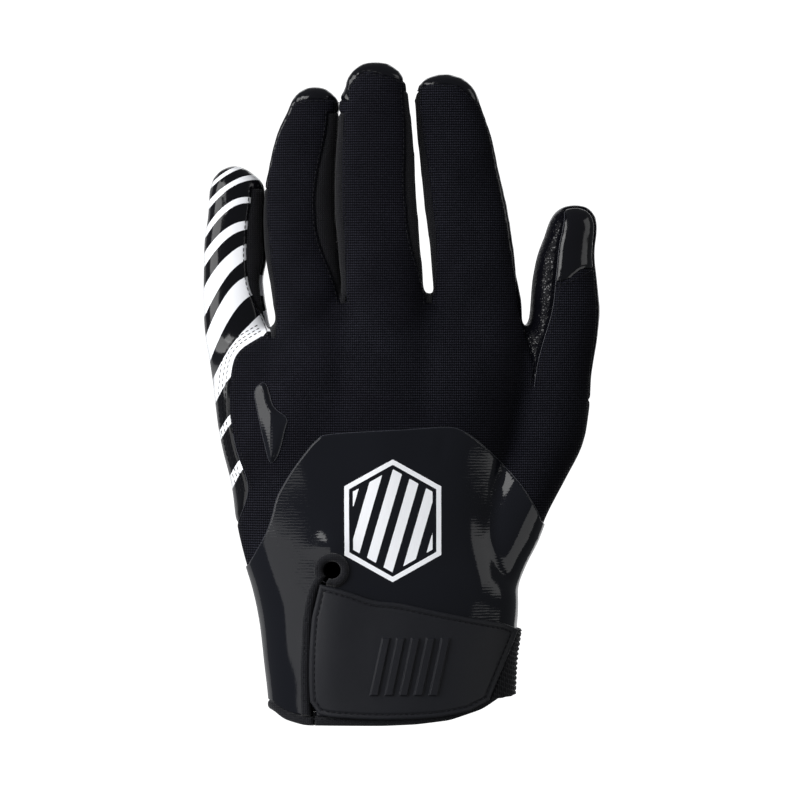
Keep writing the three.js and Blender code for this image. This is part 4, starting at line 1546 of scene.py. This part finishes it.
@dataclass
class Workshop:
    """What every sub-assembly needs: the form, the cutter, the finishes and the trees."""

    cutter: Cutter
    skin: Sheet
    finishes: dict[str, Material]
    stitches: StitchTree
    cords: CordTree
    surface: BVHTree

    @classmethod
    def open(cls) -> "Workshop":
        """Builds the shared form, finishes and trees."""
        form = GloveForm()
        skin = form.build()
        normals = skin.normals()
        lift = sum(fold.lift(skin.points, normals) for fold in FOLDS)
        skin = Sheet(skin.points + normals * lift[:, None], skin.faces).relaxed(2, 0.4)
        finishes = {
            "knit": KnitFinish(),
            "grip": GripFinish(),
            "bands": GripFinish("banded_grip", banded=True, wrinkle=0.0002),
            "crinkled": GripFinish(
                "crinkled_grip", wrinkle=0.0004, grain=0.00012, coat=0.0, specked=True
            ),
            "mesh": WovenFinish("mesh_knit", depth=0.0002),
            "film": FilmFinish(),
            "rubber": RubberFinish(),
            "elastic": WovenFinish("ribbed_elastic", first=("DIAGONAL", 0.0012)),
            "binding": WovenFinish("woven_tape", (0.0055, 0.0058, 0.0078)),
            "thread": ThreadFinish(),
            "print": PrintFinish(),
            # Light grey edge finish: a painted highlight that stands in for the glint along the film edges
            # and seams.
            "edge": FilmFinish("film_edge", (0.032, 0.033, 0.04), 0.25),
        }
        materials = {key: finish.build() for key, finish in finishes.items()}
        surface = BVHTree.FromPolygons(skin.points.tolist(), skin.faces.tolist())
        return cls(Cutter(form), skin, materials, StitchTree(), CordTree(), surface)

    def piece(
        self, name: str, made: Sheet | bpy.types.Mesh, slot: Slot, finish: str, *replaced: str
    ) -> None:
        """Puts a piece of the glove into the scene.

        Args:
            name: the piece's name.
            made: its sheet in millimetres or its mesh in metres.
            slot: the record's slot; not used.
            finish: its finish.
            *replaced: CAD nodes that it stands for.
        """
        mesh = made.to_mesh(name) if isinstance(made, Sheet) else made
        piece = linked(name, mesh)
        mesh.materials.clear()
        mesh.materials.append(self.finishes[finish])
        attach(piece, BODY)
        if replaced:
            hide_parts(*replaced)
        LOG.info("%s: %d triangles", name, sum(len(p.vertices) - 2 for p in mesh.polygons))

    def sew(self, name: str, lines: Sequence[Array], pitch: float, length: float, radius: float) -> None:
        """Makes a piece of thread stitches.

        Args:
            name: the piece's name.
            lines: the rows, as x, y, z in millimetres.
            pitch: distance between stitches in metres.
            length: length of a stitch in metres.
            radius: radius of the thread in metres.
        """
        sizes = {"Pitch": pitch, "Stitch_Length": length, "Thread_Radius": radius}
        made = self.stitches.run(name, lines, self.finishes["thread"], **sizes)
        self.piece(name, made, Slot.STITCH, "thread")

    def drop(self, outline: Outline, lift: float, side: Side = Side.BACK, spacing: float = 0.8) -> Array:
        """A line of x and z laid on the form.

        Args:
            outline: the line.
            lift: how far above the form.
            side: which side it lies on.
            spacing: distance between its points.

        Returns:
            Rows of x, y, z.
        """
        rows = np.array(outline)
        step = np.r_[0, np.cumsum(np.hypot(*np.diff(rows, axis=0).T))]
        at = np.linspace(0, step[-1], max(2, int(step[-1] / spacing)))
        out = []
        for x, z in zip(np.interp(at, step, rows[:, 0]), np.interp(at, step, rows[:, 1])):
            start = Vector((x, CAST_FROM * side.value, z))
            spot, normal, _, _ = self.surface.ray_cast(start, Vector((0, -side.value, 0)))
            if spot is not None:
                out.append(spot + normal * lift)
        return np.array(out).reshape(-1, 3)

    def layer(
        self, level: Field, bottom: float, height: Callable[[Array, Array], Array], rounds: int,
        everywhere: int = 0, values: Callable[[Array], dict[str, Array]] | None = None,
    ) -> Sheet:
        """A closed layer over part of the form.

        Args:
            level: distance to its border, negative inside.
            bottom: how far its lower side is from the form.
            height: its upper side, from points and levels.
            rounds: how often the mesh is refined at the border.
            everywhere: how often the whole of it is refined.
            values: values that its points carry.

        Returns:
            The layer.
        """
        sheet = self.skin.near(level(self.skin.points), BORDER_REACH)
        for _ in range(everywhere):
            sheet = sheet.refined(np.ones(len(sheet.points), bool))
        for band in (1.5, 0.8)[:rounds]:
            sheet = sheet.refined(np.abs(level(sheet.points)) < band)
        sheet, normals = sheet.cut_with_normals(level)
        normals /= np.linalg.norm(normals, axis=1, keepdims=True)
        top = height(sheet.points, level(sheet.points))
        if values:
            sheet = sheet.with_values(**values(sheet.points))
        return sheet.thickened(sheet.points + normals * top[:, None], sheet.points + normals * bottom)


@dataclass
class Panels:
    """The sewn panels of the glove, each with rolled edges at its seams."""

    shop: Workshop
    wall: float = 1.2
    roll_depth: float = 0.55
    roll_width: float = 1.5

    def roll(self, level: Array) -> Array:
        """How far the edge of a panel turns in towards its seam."""
        share = np.clip(1 + (level + PIECE_GAP) / self.roll_width, 0, 1)
        return -self.roll_depth * share ** 2.2

    def cut(
        self, name: str, everywhere: int = 0, relief: Callable[[Array], Array] | None = None,
        values: Callable[[Array], dict[str, Array]] | None = None,
    ) -> Sheet:
        """One panel as a closed wall.

        Args:
            name: the panel.
            everywhere: how often the whole panel is refined.
            relief: further height from the points.
            values: values that its points carry.

        Returns:
            The panel's sheet.
        """
        def level(points: Array) -> Array:
            """The panel's border, moved in by half the seam."""
            return self.shop.cutter.panel(name, points) + PIECE_GAP

        def height(points: Array, distance: Array) -> Array:
            """The rolled edge, with the relief."""
            top = self.roll(distance)
            return top + relief(points) if relief else top

        return self.shop.layer(level, -self.wall, height, 1, everywhere, values)

    def dress(self) -> None:
        """Makes all panels."""
        plain = {
            "back_panel": (Slot.KNIT, "knit"),
            "palm_panel": (Slot.GRIP, "grip"),
            "thumb_tip_cap": (Slot.GRIP, "grip"),
            "side_wall_little_ring": (Slot.SIDE_WALL, "mesh"),
            "side_wall_ring_middle": (Slot.SIDE_WALL, "mesh"),
            "side_wall_middle_index": (Slot.SIDE_WALL, "mesh"),
        }
        for name, (slot, finish) in plain.items():
            self.shop.piece(name + "_cloth", self.cut(name), slot, finish, name)
        grip = self.cut("thumb_grip", everywhere=1, relief=self.crinkle)
        self.shop.piece("thumb_grip_cloth", grip, Slot.GRIP, "crinkled", "thumb_grip")

    @staticmethod
    def crinkle(points: Array) -> Array:
        """Creases of the thumb's inner side.

        Args:
            points: rows of x, y, z.

        Returns:
            One height for each point.
        """
        back = np.zeros_like(points)
        back[:, 1] = Side.BACK.value
        near = ease((8 - points[:, 1]) / 6)
        return near * sum(fold.lift(points, back) for fold in CRINKLES)


@dataclass(frozen=True)
class Band:
    """A white band in millimetres: its height and its thickness at three places across."""

    heights: tuple[float, float, float]
    thickness: tuple[float, float, float]


@dataclass
class BandedFinger:
    """The little finger's wrap with slanted white bands, narrow at the tip and wide below."""

    shop: Workshop
    panels: Panels
    places: tuple[float, float, float] = (-58.8, -51.3, -44.5)
    bands: tuple[Band, ...] = (
        Band((181.2, 187.2, 189.3), (1.4, 1.5, 1.0)),
        Band((175.4, 182.2, 185.0), (2.8, 1.9, 1.8)),
        Band((167.4, 175.4, 177.3), (2.9, 2.4, 2.0)),
        Band((158.8, 166.6, 168.8), (4.7, 3.6, 2.8)),
        Band((145.0, 155.7, 160.1), (10.0, 6.6, 5.1)),
        Band((126.6, 141.8, 148.1), (12.4, 9.9, 6.9)),
        Band((107.6, 121.9, 131.2), (10.0, 10.0, 7.6)),
        Band((90.0, 102.6, 113.0), (4.0, 3.6, 3.0)),
        Band((66.0, 80.5, 92.5), (7.0, 6.0, 4.5)),
    )

    def band(self, points: Array) -> dict[str, Array]:
        """Distance into the nearest white band, negative on black.

        Args:
            points: rows of x, y, z.

        Returns:
            The distance as the value named band.
        """
        x, z = np.clip(points[:, 0], -61.5, -38.0), points[:, 2]
        inside = np.full(len(points), -FAR)
        for band in self.bands:
            curve = np.polyfit(self.places, band.heights, 2)
            slope = np.polyval(np.polyder(curve), x)
            thick = np.interp(x, self.places, band.thickness)
            depth = (thick / 2 - np.abs(z - np.polyval(curve, x))) / np.sqrt(1 + slope ** 2)
            inside = np.maximum(inside, depth)
        return {"band": inside}

    def dress(self) -> None:
        """Makes the wrap."""
        sheet = self.panels.cut("little_finger_grip", everywhere=1, values=self.band)
        self.shop.piece("little_finger_cloth", sheet, Slot.GRIP, "bands", "little_finger_grip")


@dataclass
class FilmTrim:
    """The film patch on the back of the hand, the small diamond inset and the welded edge lines, whose
    light grey colour is a painted highlight.
    """

    shop: Workshop
    bottom: float = 0.12
    top: float = 0.62
    edge: float = 0.45
    edge_radius: float = 0.15
    edge_lift: float = 0.22
    seam_lift: float = -0.35
    lip: float = 0.1
    side_gap: float = 0.3
    foot: float = 3.2
    slit_half: float = 0.9
    keyhole: float = 3.1
    crest: float = 0.95
    crest_width: float = 3.0
    crest_line: tuple[tuple[float, float], ...] = ((-39.2, 118.0), (-36.3, 104.0), (-36.6, 86.0))

    def patch_outline(self) -> Outline:
        """The patch's outline, run past the silhouette and the cuff."""
        line = smooth_outline(on_hand(PATCH_TOP))
        (lx, lz), (rx, rz) = line[0], line[-1]
        return [
            *line, (rx + OUTSIDE, rz - OUTSIDE), (rx + OUTSIDE, -OUTSIDE), (lx - OUTSIDE, -OUTSIDE),
            (lx - OUTSIDE, lz - OUTSIDE),
        ]

    def patch_level(self, points: Array) -> Array:
        """Distance to the patch's border, negative inside.

        Args:
            points: rows of x, y, z.

        Returns:
            The distance.
        """
        cutter = self.shop.cutter
        level = outline_level(points, self.patch_outline())
        level = np.maximum(level, self.side_gap - cutter.palm_side(points))
        level = np.maximum(level, self.foot - cutter.above_cuff(points))
        return np.maximum(level, -cutter.slit_level(points, self.slit_half, self.keyhole))

    def inset_level(self, points: Array) -> Array:
        """Distance to the inset's border, negative inside."""
        return on_back(points, outline_level(points, smooth_outline(on_hand(INSET_OUTLINE), True, 3)))

    def rounded(self, _: Array, level: Array) -> Array:
        """Height of the film with a rounded edge."""
        return self.top - (self.top - self.bottom - self.lip) * rounding(level, self.edge, 0.98)

    def dress(self) -> None:
        """Makes both films and the thin welded lines, whose light grey colour is a painted highlight."""
        for name, level, height, node, everywhere in (
            ("hand_patch_film", self.patch_level, self.rounded, "hand_patch", 0),
            ("knuckle_inset_film", self.inset_level, self.ridged, "knuckle_inset", 1),
        ):
            sheet = self.shop.layer(level, self.bottom, height, 2, everywhere)
            self.shop.piece(name, sheet, Slot.FILM, "film", node)
        self.make_painted_glint_edge_lines()

    def make_painted_glint_edge_lines(self) -> None:
        """Makes the thin welded edges of the films and of the thumb's and the hand's side seam, coloured
        light grey as a painted glint along them.
        """
        inset = smooth_outline(on_hand(INSET_OUTLINE), True, 3)
        lines = [
            self.shop.drop(line, lift)
            for line, lift in (
                (smooth_outline(on_hand(PATCH_TOP)), self.edge_lift),
                ([*inset, inset[0]], self.edge_lift),
                (smooth_outline(on_hand(LITTLE_SEAM[4:])), self.seam_lift),
                (self.shop.cutter.thumb_seam[4:], self.seam_lift),
            )
        ]
        # The light grey finish paints the highlight along these edges and seams.
        edge = self.shop.finishes["edge"]
        made = self.shop.cords.run("painted_glint_edge_lines", lines, edge, Radius=self.edge_radius * MM)
        self.shop.piece("painted_glint_edge_lines", made, Slot.FILM, "edge")

    def ridged(self, points: Array, level: Array) -> Array:
        """Height of the inset: a rounded edge and a crest along its length."""
        away = line_level(points, self.crest_line)
        crest = self.crest * np.exp(-(away / self.crest_width) ** 1.6) * ease(-level / 1.6)
        return self.rounded(points, level) + crest


@dataclass
class PatchPrint:
    """A plain white hexagon ring with slanted bars, printed on the patch."""

    shop: Workshop
    middle: tuple[float, float] = (4.0, 68.9)
    half_width: float = 16.2
    half_height: float = 20.6
    ring: float = 1.6
    gap: float = 1.3
    bars: int = 5
    bar_share: float = 0.27
    lean: float = 6.0
    bottom: float = 0.6
    top: float = 0.72

    def hexagon(self, inset: float) -> Outline:
        """An upright hexagon, smaller by an inset.

        Args:
            inset: how much smaller.

        Returns:
            Its corners.
        """
        x, z = self.middle
        wide, high = self.half_width - inset, self.half_height - inset * 1.12
        shoulder = high * 0.56
        return [
            (x, z + high), (x + wide, z + shoulder), (x + wide, z - shoulder), (x, z - high),
            (x - wide, z - shoulder), (x - wide, z + shoulder),
        ]

    def level(self, points: Array) -> Array:
        """Distance to the print's border, negative inside.

        Args:
            points: rows of x, y, z.

        Returns:
            The distance.
        """
        ring = np.maximum(
            outline_level(points, self.hexagon(0)), -outline_level(points, self.hexagon(self.ring))
        )
        inner = outline_level(points, self.hexagon(self.ring + self.gap))
        x, z = self.middle
        pitch = 2 * self.half_width / self.bars
        slanted = points[:, 0] - x - (points[:, 2] - z) * self.lean / self.half_height
        phase = np.abs((slanted / pitch) % 1 - 0.5) * pitch
        bars = np.maximum(inner, phase - pitch * self.bar_share)
        return on_back(points, np.minimum(ring, bars))

    def dress(self) -> None:
        """Makes the print."""
        sheet = self.shop.layer(
            self.level, self.bottom, lambda points, _: np.full(len(points), self.top), 2
        )
        self.shop.piece("patch_print", sheet, Slot.PRINT, "print")


@dataclass
class Closure:
    """The strap with its ribs and stitches, the elastic and the bound slit."""

    shop: Workshop
    bottom: float = 1.25
    top: float = 3.2
    edge: float = 0.7
    stitch_inset: float = 1.75
    rib_height: float = 0.85
    lap: float = 1.15
    border_drop: float = 0.8
    groove_depth: float = 0.28
    groove_width: float = 0.42
    neighbour_gap: float = 0.3
    cord_pitch: float = 1.7
    cord_height: float = 0.5
    elastic_top: float = 2.0
    tape_bottom: float = 0.65
    tape_edge: float = 0.75
    tape_crown: float = 1.55
    tape_foot: float = 3.3
    tape_shift: float = 2.2
    tape_half: float = 1.5
    ring_radius: float = 5.9
    ring_stitches: float = 4.5

    def strap_outline(self) -> Outline:
        """The strap's outline."""
        top = smooth_outline(on_hand(STRAP_TOP))
        bottom = smooth_outline(on_hand(STRAP_BOTTOM))
        left = [(x - self.lap, z) for x, z in smooth_outline(on_hand(STRAP_LEFT))]
        return [*top, *on_hand(STRAP_END), *bottom, *left]

    def strap_level(self, points: Array) -> Array:
        """Distance to the strap's border, negative inside."""
        return on_back(points, outline_level(points, self.strap_outline()))

    def rib_level(self, points: Array) -> Array:
        """Distance to the nearest moulded rib, negative inside.

        Args:
            points: rows of x, y, z.

        Returns:
            The distance.
        """
        (x, z), block = on_hand([(RIB_BLOCK["across"], RIB_BLOCK["up"])])[0], RIB_BLOCK
        pitch = block["width"] / block["count"]
        half, lean = pitch * block["share"] / 2, block["lean"] / 2
        levels = []
        for i in range(block["count"]):
            at = x - block["width"] / 2 + (i + 0.5) * pitch
            low, high = z - block["height"] / 2, z + block["height"] / 2
            levels.append(outline_level(points, [
                (at - half - lean, low), (at + half - lean, low), (at + half + lean, high),
                (at - half + lean, high),
            ]))
        return np.minimum.reduce(levels)

    def strap_height(self, points: Array, level: Array) -> Array:
        """Height of the strap: rounded edge, stitch groove and moulded ribs.

        Args:
            points: rows of x, y, z.
            level: their distance to the border, negative inside.

        Returns:
            The height.
        """
        top = self.top - self.border_drop * rounding(level, self.edge, 0.97)
        groove = self.groove_depth * np.exp(-((level + self.stitch_inset) / self.groove_width) ** 2)
        ribs = self.rib_height * ease(0.5 - self.rib_level(points) / 0.45)
        return top - groove + ribs

    def make_strap(self) -> None:
        """Makes the strap."""
        sheet = self.shop.skin.near(self.strap_level(self.shop.skin.points), BORDER_REACH)
        for reach in (1.7, 1.0, 0.7):
            level, rib = self.strap_level(sheet.points), self.rib_level(sheet.points)
            detail = np.minimum.reduce([np.abs(level + self.stitch_inset), np.abs(rib), np.abs(level)])
            sheet = sheet.refined(detail < reach)
        sheet, normals = sheet.cut_with_normals(self.strap_level)
        top = self.strap_height(sheet.points, self.strap_level(sheet.points))
        outer, inner = sheet.points + normals * top[:, None], sheet.points + normals * self.bottom
        self.shop.piece("strap_tab", sheet.thickened(outer, inner), Slot.STRAP, "rubber", "strap")

    def stitch_lines(self) -> list[Array]:
        """The strap's border moved in and laid on its top."""
        def level(points: Array) -> Array:
            """Distance to the stitches, negative inside."""
            return self.strap_level(points) + self.stitch_inset

        sheet = self.shop.skin.near(level(self.shop.skin.points), BORDER_REACH)
        sheet = sheet.refined(np.ones(len(sheet.points), bool))
        sheet, normals = sheet.cut_with_normals(level)
        raised = sheet.points + normals * (self.top - 0.2)
        return [raised[run] for run in sheet.chains() if len(run) > 40]

    def elastic_level(self, points: Array) -> Array:
        """Distance to the elastic's border, negative inside.

        Args:
            points: rows of x, y, z.

        Returns:
            The distance.
        """
        right = on_hand(STRAP_END)
        outline = [right[0], *on_hand(ELASTIC_END), right[1]]
        past_strap = self.neighbour_gap - self.strap_level(points)
        return np.maximum(outline_level(points, outline), past_strap)

    def elastic_height(self, points: Array, level: Array) -> Array:
        """Height of the elastic: rounded edge and cord ribs along its length.

        Args:
            points: rows of x, y, z.
            level: their distance to the border, negative inside.

        Returns:
            The height.
        """
        along = points[:, 2] + 0.5 * np.where(points[:, 1] < 0, points[:, 0], 60 - points[:, 0] * 0.2)
        rib = 0.5 + 0.5 * np.cos(2 * np.pi * along / self.cord_pitch)
        share = np.clip(1 + level / 0.6, 0, 1)
        return self.elastic_top + self.cord_height * rib - 0.6 * share ** 2

    def binding_level(self, points: Array) -> Array:
        """Distance to the slit binding's border, negative inside.

        Args:
            points: rows of x, y, z.

        Returns:
            The distance.
        """
        cutter = self.shop.cutter
        strip = [(x - self.tape_shift, z) for x, z in cutter.slit[3:]]
        x, z = cutter.slit[0]
        hole = np.hypot((points[:, 0] - x) * 1.04, points[:, 2] - z) - self.ring_radius
        level = np.maximum.reduce([
            np.minimum(line_level(points, strip) - self.tape_half, hole),
            -cutter.slit_level(points, cutter.SLIT_HALF, cutter.KEYHOLE),
            self.neighbour_gap - self.strap_level(points),
            self.tape_foot - cutter.above_cuff(points),
        ])
        return on_back(points, level)

    def binding_height(self, _: Array, level: Array) -> Array:
        """Height of the binding, a rounded tape."""
        return self.tape_edge + self.tape_crown * (1 - rounding(level, 1.3, 0.96))

    def slit_rows(self) -> list[Array]:
        """The rows of stitches on the binding, round the ring and down the strip."""
        x, z = self.shop.cutter.slit[0]
        turn, radius = np.linspace(0, 2 * np.pi, 40), self.ring_stitches
        ring = [(x + radius * math.cos(a), z + radius * math.sin(a)) for a in turn]
        strip = [(px - self.tape_shift, pz) for px, pz in self.shop.cutter.slit[4:] if pz > 4.5]
        return [self.shop.drop(ring, 2.2, spacing=0.5), self.shop.drop(strip, 2.28)]

    def dress(self) -> None:
        """Makes all of the closure."""
        self.make_strap()
        self.shop.sew("strap_stitches", self.stitch_lines(), 0.00205, 0.0016, 0.00024)
        elastic = self.shop.layer(self.elastic_level, self.bottom, self.elastic_height, 1, 2)
        self.shop.piece("strap_elastic_band", elastic, Slot.ELASTIC, "elastic", "strap_elastic")
        binding = self.shop.layer(self.binding_level, self.tape_bottom, self.binding_height, 1, 1)
        self.shop.piece("slit_tape", binding, Slot.BINDING, "binding", "slit_binding")
        self.shop.sew("slit_stitches", self.slit_rows(), 0.0019, 0.0014, 0.0002)


@dataclass
class Cuff:
    """The bound edge of the cuff with its row of stitches."""

    shop: Workshop
    height: float = 3.0
    proud: float = 0.5
    wall: float = 2.0
    edge: float = 1.4
    slit_half: float = 0.2
    keyhole: float = 2.1
    stitch_rise: float = 2.3
    stitch_ends: tuple[float, float] = (-37, 42)

    def level(self, points: Array) -> Array:
        """Distance to the binding's border, negative inside.

        Args:
            points: rows of x, y, z.

        Returns:
            The distance.
        """
        cutter = self.shop.cutter
        rise = cutter.above_cuff(points)
        level = np.abs(rise - self.height / 2) - self.height / 2
        return np.maximum(level, -cutter.slit_level(points, self.slit_half, self.keyhole))

    def top(self, _: Array, level: Array) -> Array:
        """Height of the binding, a rounded tape."""
        return self.proud + 0.35 - 1.1 * rounding(level, self.edge, 0.97)

    def dress(self) -> None:
        """Makes the binding and its stitches."""
        sheet = self.shop.layer(self.level, -self.wall, self.top, 1, 1)
        self.shop.piece("cuff_tape", sheet, Slot.BINDING, "binding", "cuff_binding")
        across = np.arange(*self.stitch_ends, 0.5)
        row = list(zip(across, np.interp(across, *self.shop.cutter.cuff.T) + self.stitch_rise))
        lines = [self.shop.drop(row, self.proud + 0.22, side) for side in Side]
        self.shop.sew("cuff_stitches", lines, 0.0021, 0.0015, 0.0002)


@dataclass
class SeamStitches:
    """Rows of thread beside the seams of the panels."""

    shop: Workshop
    pitch: float = 0.0019
    length: float = 0.0014
    radius: float = 0.00017

    def shifted(self, line: Outline, amount: float) -> Outline:
        """A line moved sideways.

        Args:
            line: the line as x and z.
            amount: how far to its left.

        Returns:
            The line.
        """
        rows = np.array(line)
        along = np.gradient(rows, axis=0)
        along /= np.maximum(np.linalg.norm(along, axis=1, keepdims=True), 1e-9)
        return [tuple(row) for row in rows + np.column_stack([-along[:, 1], along[:, 0]]) * amount]

    def rows(self) -> list[Array]:
        """All rows, laid on the form."""
        cutter = self.shop.cutter
        little = smooth_outline(on_hand(LITTLE_SEAM[:-1]))
        tip = smooth_outline([DIGITS["thumb"].at(*row) for row in THUMB_TIP_SEAM[:-1]])
        plan = [(little, amount, 0.03) for amount in (1.5, -1.2, -2.3, -3.5)]
        plan += [(cutter.thumb_seam[8:], amount, 0.02) for amount in (1.6, -1.3)]
        plan.append((tip, -1.2, 0.02))
        for near, far in cutter.wall_seams.values():
            plan += [(near, 1.1, 0.0), (far, -1.1, 0.0)]
        plan += [(wrap[2:-4], -1.1, 0.0) for wrap in cutter.wraps]
        rows = [self.shop.drop(self.shifted(line, amount), lift) for line, amount, lift in plan]
        return [row for row in rows if len(row) > 3]

    def dress(self) -> None:
        """Makes the rows."""
        self.shop.sew("seam_stitches", self.rows(), self.pitch, self.length, self.radius)


@dataclass(frozen=True)
class SoftBox:
    """A studio light: where it stands, its size in metres and its radiance."""

    name: str
    azimuth: float
    elevation: float
    distance: float
    size: tuple[float, float]
    radiance: float
    mirrored: bool = True

    def place(self, middle: Vector) -> None:
        """Puts it up so that it faces a point.

        Args:
            middle: the point.
        """
        data = bpy.data.lights.new(self.name, "AREA")
        data.shape = "RECTANGLE"
        data.size, data.size_y = self.size
        data.energy = self.radiance * math.pi * self.size[0] * self.size[1]
        light = linked(self.name, data)
        a, e = math.radians(self.azimuth), math.radians(self.elevation)
        way = Vector((math.sin(a) * math.cos(e), -math.cos(a) * math.cos(e), math.sin(e)))
        light.location = middle + way * self.distance
        light.rotation_euler = way.to_track_quat("Z", "Y").to_euler()
        light.visible_glossy = self.mirrored


@dataclass
class Studio:
    """A plain pale sweep, soft boxes and the camera of the photograph."""

    middle: tuple[float, float, float] = (0.0065, 0.0, 0.1095)
    distance: float = 2.4
    frame_width: float = 0.2712
    sensor: float = 36.0
    floor: float = -2.8
    floor_radius: float = 3.2
    wall_radius: float = 1.6
    wall_top: float = 7.0
    sides: int = 96
    white: tuple[float, float, float, float] = (0.9, 0.9, 0.9, 1)
    air: tuple[float, float, float, float] = (0.9, 0.94, 1.0, 1)
    air_strength: float = 0.1
    boxes: tuple[SoftBox, ...] = (
        SoftBox("front_fill", -48, 14, 1.6, (0.9, 0.9), 10.2, False),
        SoftBox("left_box", -68, 21, 1.1, (0.85, 0.9), 2.5),
        SoftBox("right_box", 62, -24, 1.1, (0.85, 0.6), 0.8),
        SoftBox("upper_right_box", 72, 24, 1.1, (0.6, 0.7), 0.8),
        SoftBox("top_fill", 0, 72, 1.1, (0.9, 0.4), 2.0, False),
        SoftBox("left_glint", -38, 27, 1.1, (0.34, 0.36), 3.2),
        SoftBox("left_low_box", -44, -16, 1.1, (1.0, 0.6), 0.8),
        SoftBox("left_rim", -148, 5, 1.3, (0.8, 1.2), 0.3),
        SoftBox("right_rim", 156, 5, 1.3, (0.5, 1.2), 0.8),
        SoftBox("back_box", 180, 25, 1.3, (0.9, 0.7), 1.0),
        SoftBox("back_fill", 170, 15, 1.6, (0.9, 0.9), 6.0, False),
    )

    def sweep(self) -> None:
        """A round pale floor that curves up into the wall."""
        bend = [
            (self.floor_radius + self.wall_radius * math.sin(a), self.wall_radius * (1 - math.cos(a)))
            for a in np.linspace(0, np.pi / 2, 12)
        ]
        profile = [(0.01, 0.0), *bend, (bend[-1][0], self.wall_top)]
        turns = [2 * math.pi * i / self.sides for i in range(self.sides)]
        points = [
            (radius * math.cos(a), radius * math.sin(a), self.floor + height)
            for radius, height in profile for a in turns
        ]
        mesh = bpy.data.meshes.new("pale_sweep")
        mesh.from_pydata(points, [], ring_faces(len(profile), self.sides))
        mesh.shade_smooth()
        nodes = Nodes("pale_sweep")
        nodes.set(
            Base_Color=self.white, Roughness=0.9, Emission_Color=(1, 1, 1, 1), Emission_Strength=1.0
        )
        mesh.materials.append(nodes.material)
        sweep = linked("pale_sweep", mesh)
        sweep.visible_glossy = sweep.visible_diffuse = sweep.visible_shadow = False

    def build(self) -> None:
        """Makes the sweep, the lights and the camera."""
        self.sweep()
        world = bpy.data.worlds.new("studio_air")
        world.use_nodes = True
        background = world.node_tree.nodes["Background"]
        background.inputs["Color"].default_value = self.air
        background.inputs["Strength"].default_value = self.air_strength
        bpy.context.scene.world = world
        for box in self.boxes:
            box.place(Vector(self.middle))
        data = bpy.data.cameras.new("camera")
        data.sensor_width = self.sensor
        data.lens = self.sensor * self.distance / self.frame_width
        data.clip_start, data.clip_end = 0.05, 20.0
        camera = linked("camera", data)
        camera.location = Vector(self.middle) - Vector((0, self.distance, 0))
        camera.rotation_euler = (math.pi / 2, 0, 0)
        bpy.context.scene.camera = camera
        bpy.context.scene.view_settings.view_transform = "Standard"


def main() -> None:
    """Builds the glove and its studio, and notes both sizes."""
    logging.basicConfig(level=logging.INFO, format="%(message)s")
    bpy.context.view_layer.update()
    Studio().build()
    shop = Workshop.open()
    LOG.info("form: %d triangles", len(shop.skin.faces))
    panels = Panels(shop)
    panels.dress()
    BandedFinger(shop, panels).dress()
    for assembly in (FilmTrim, PatchPrint, Closure, Cuff, SeamStitches):
        assembly(shop).dress()


if __name__ == "__main__":
    main()
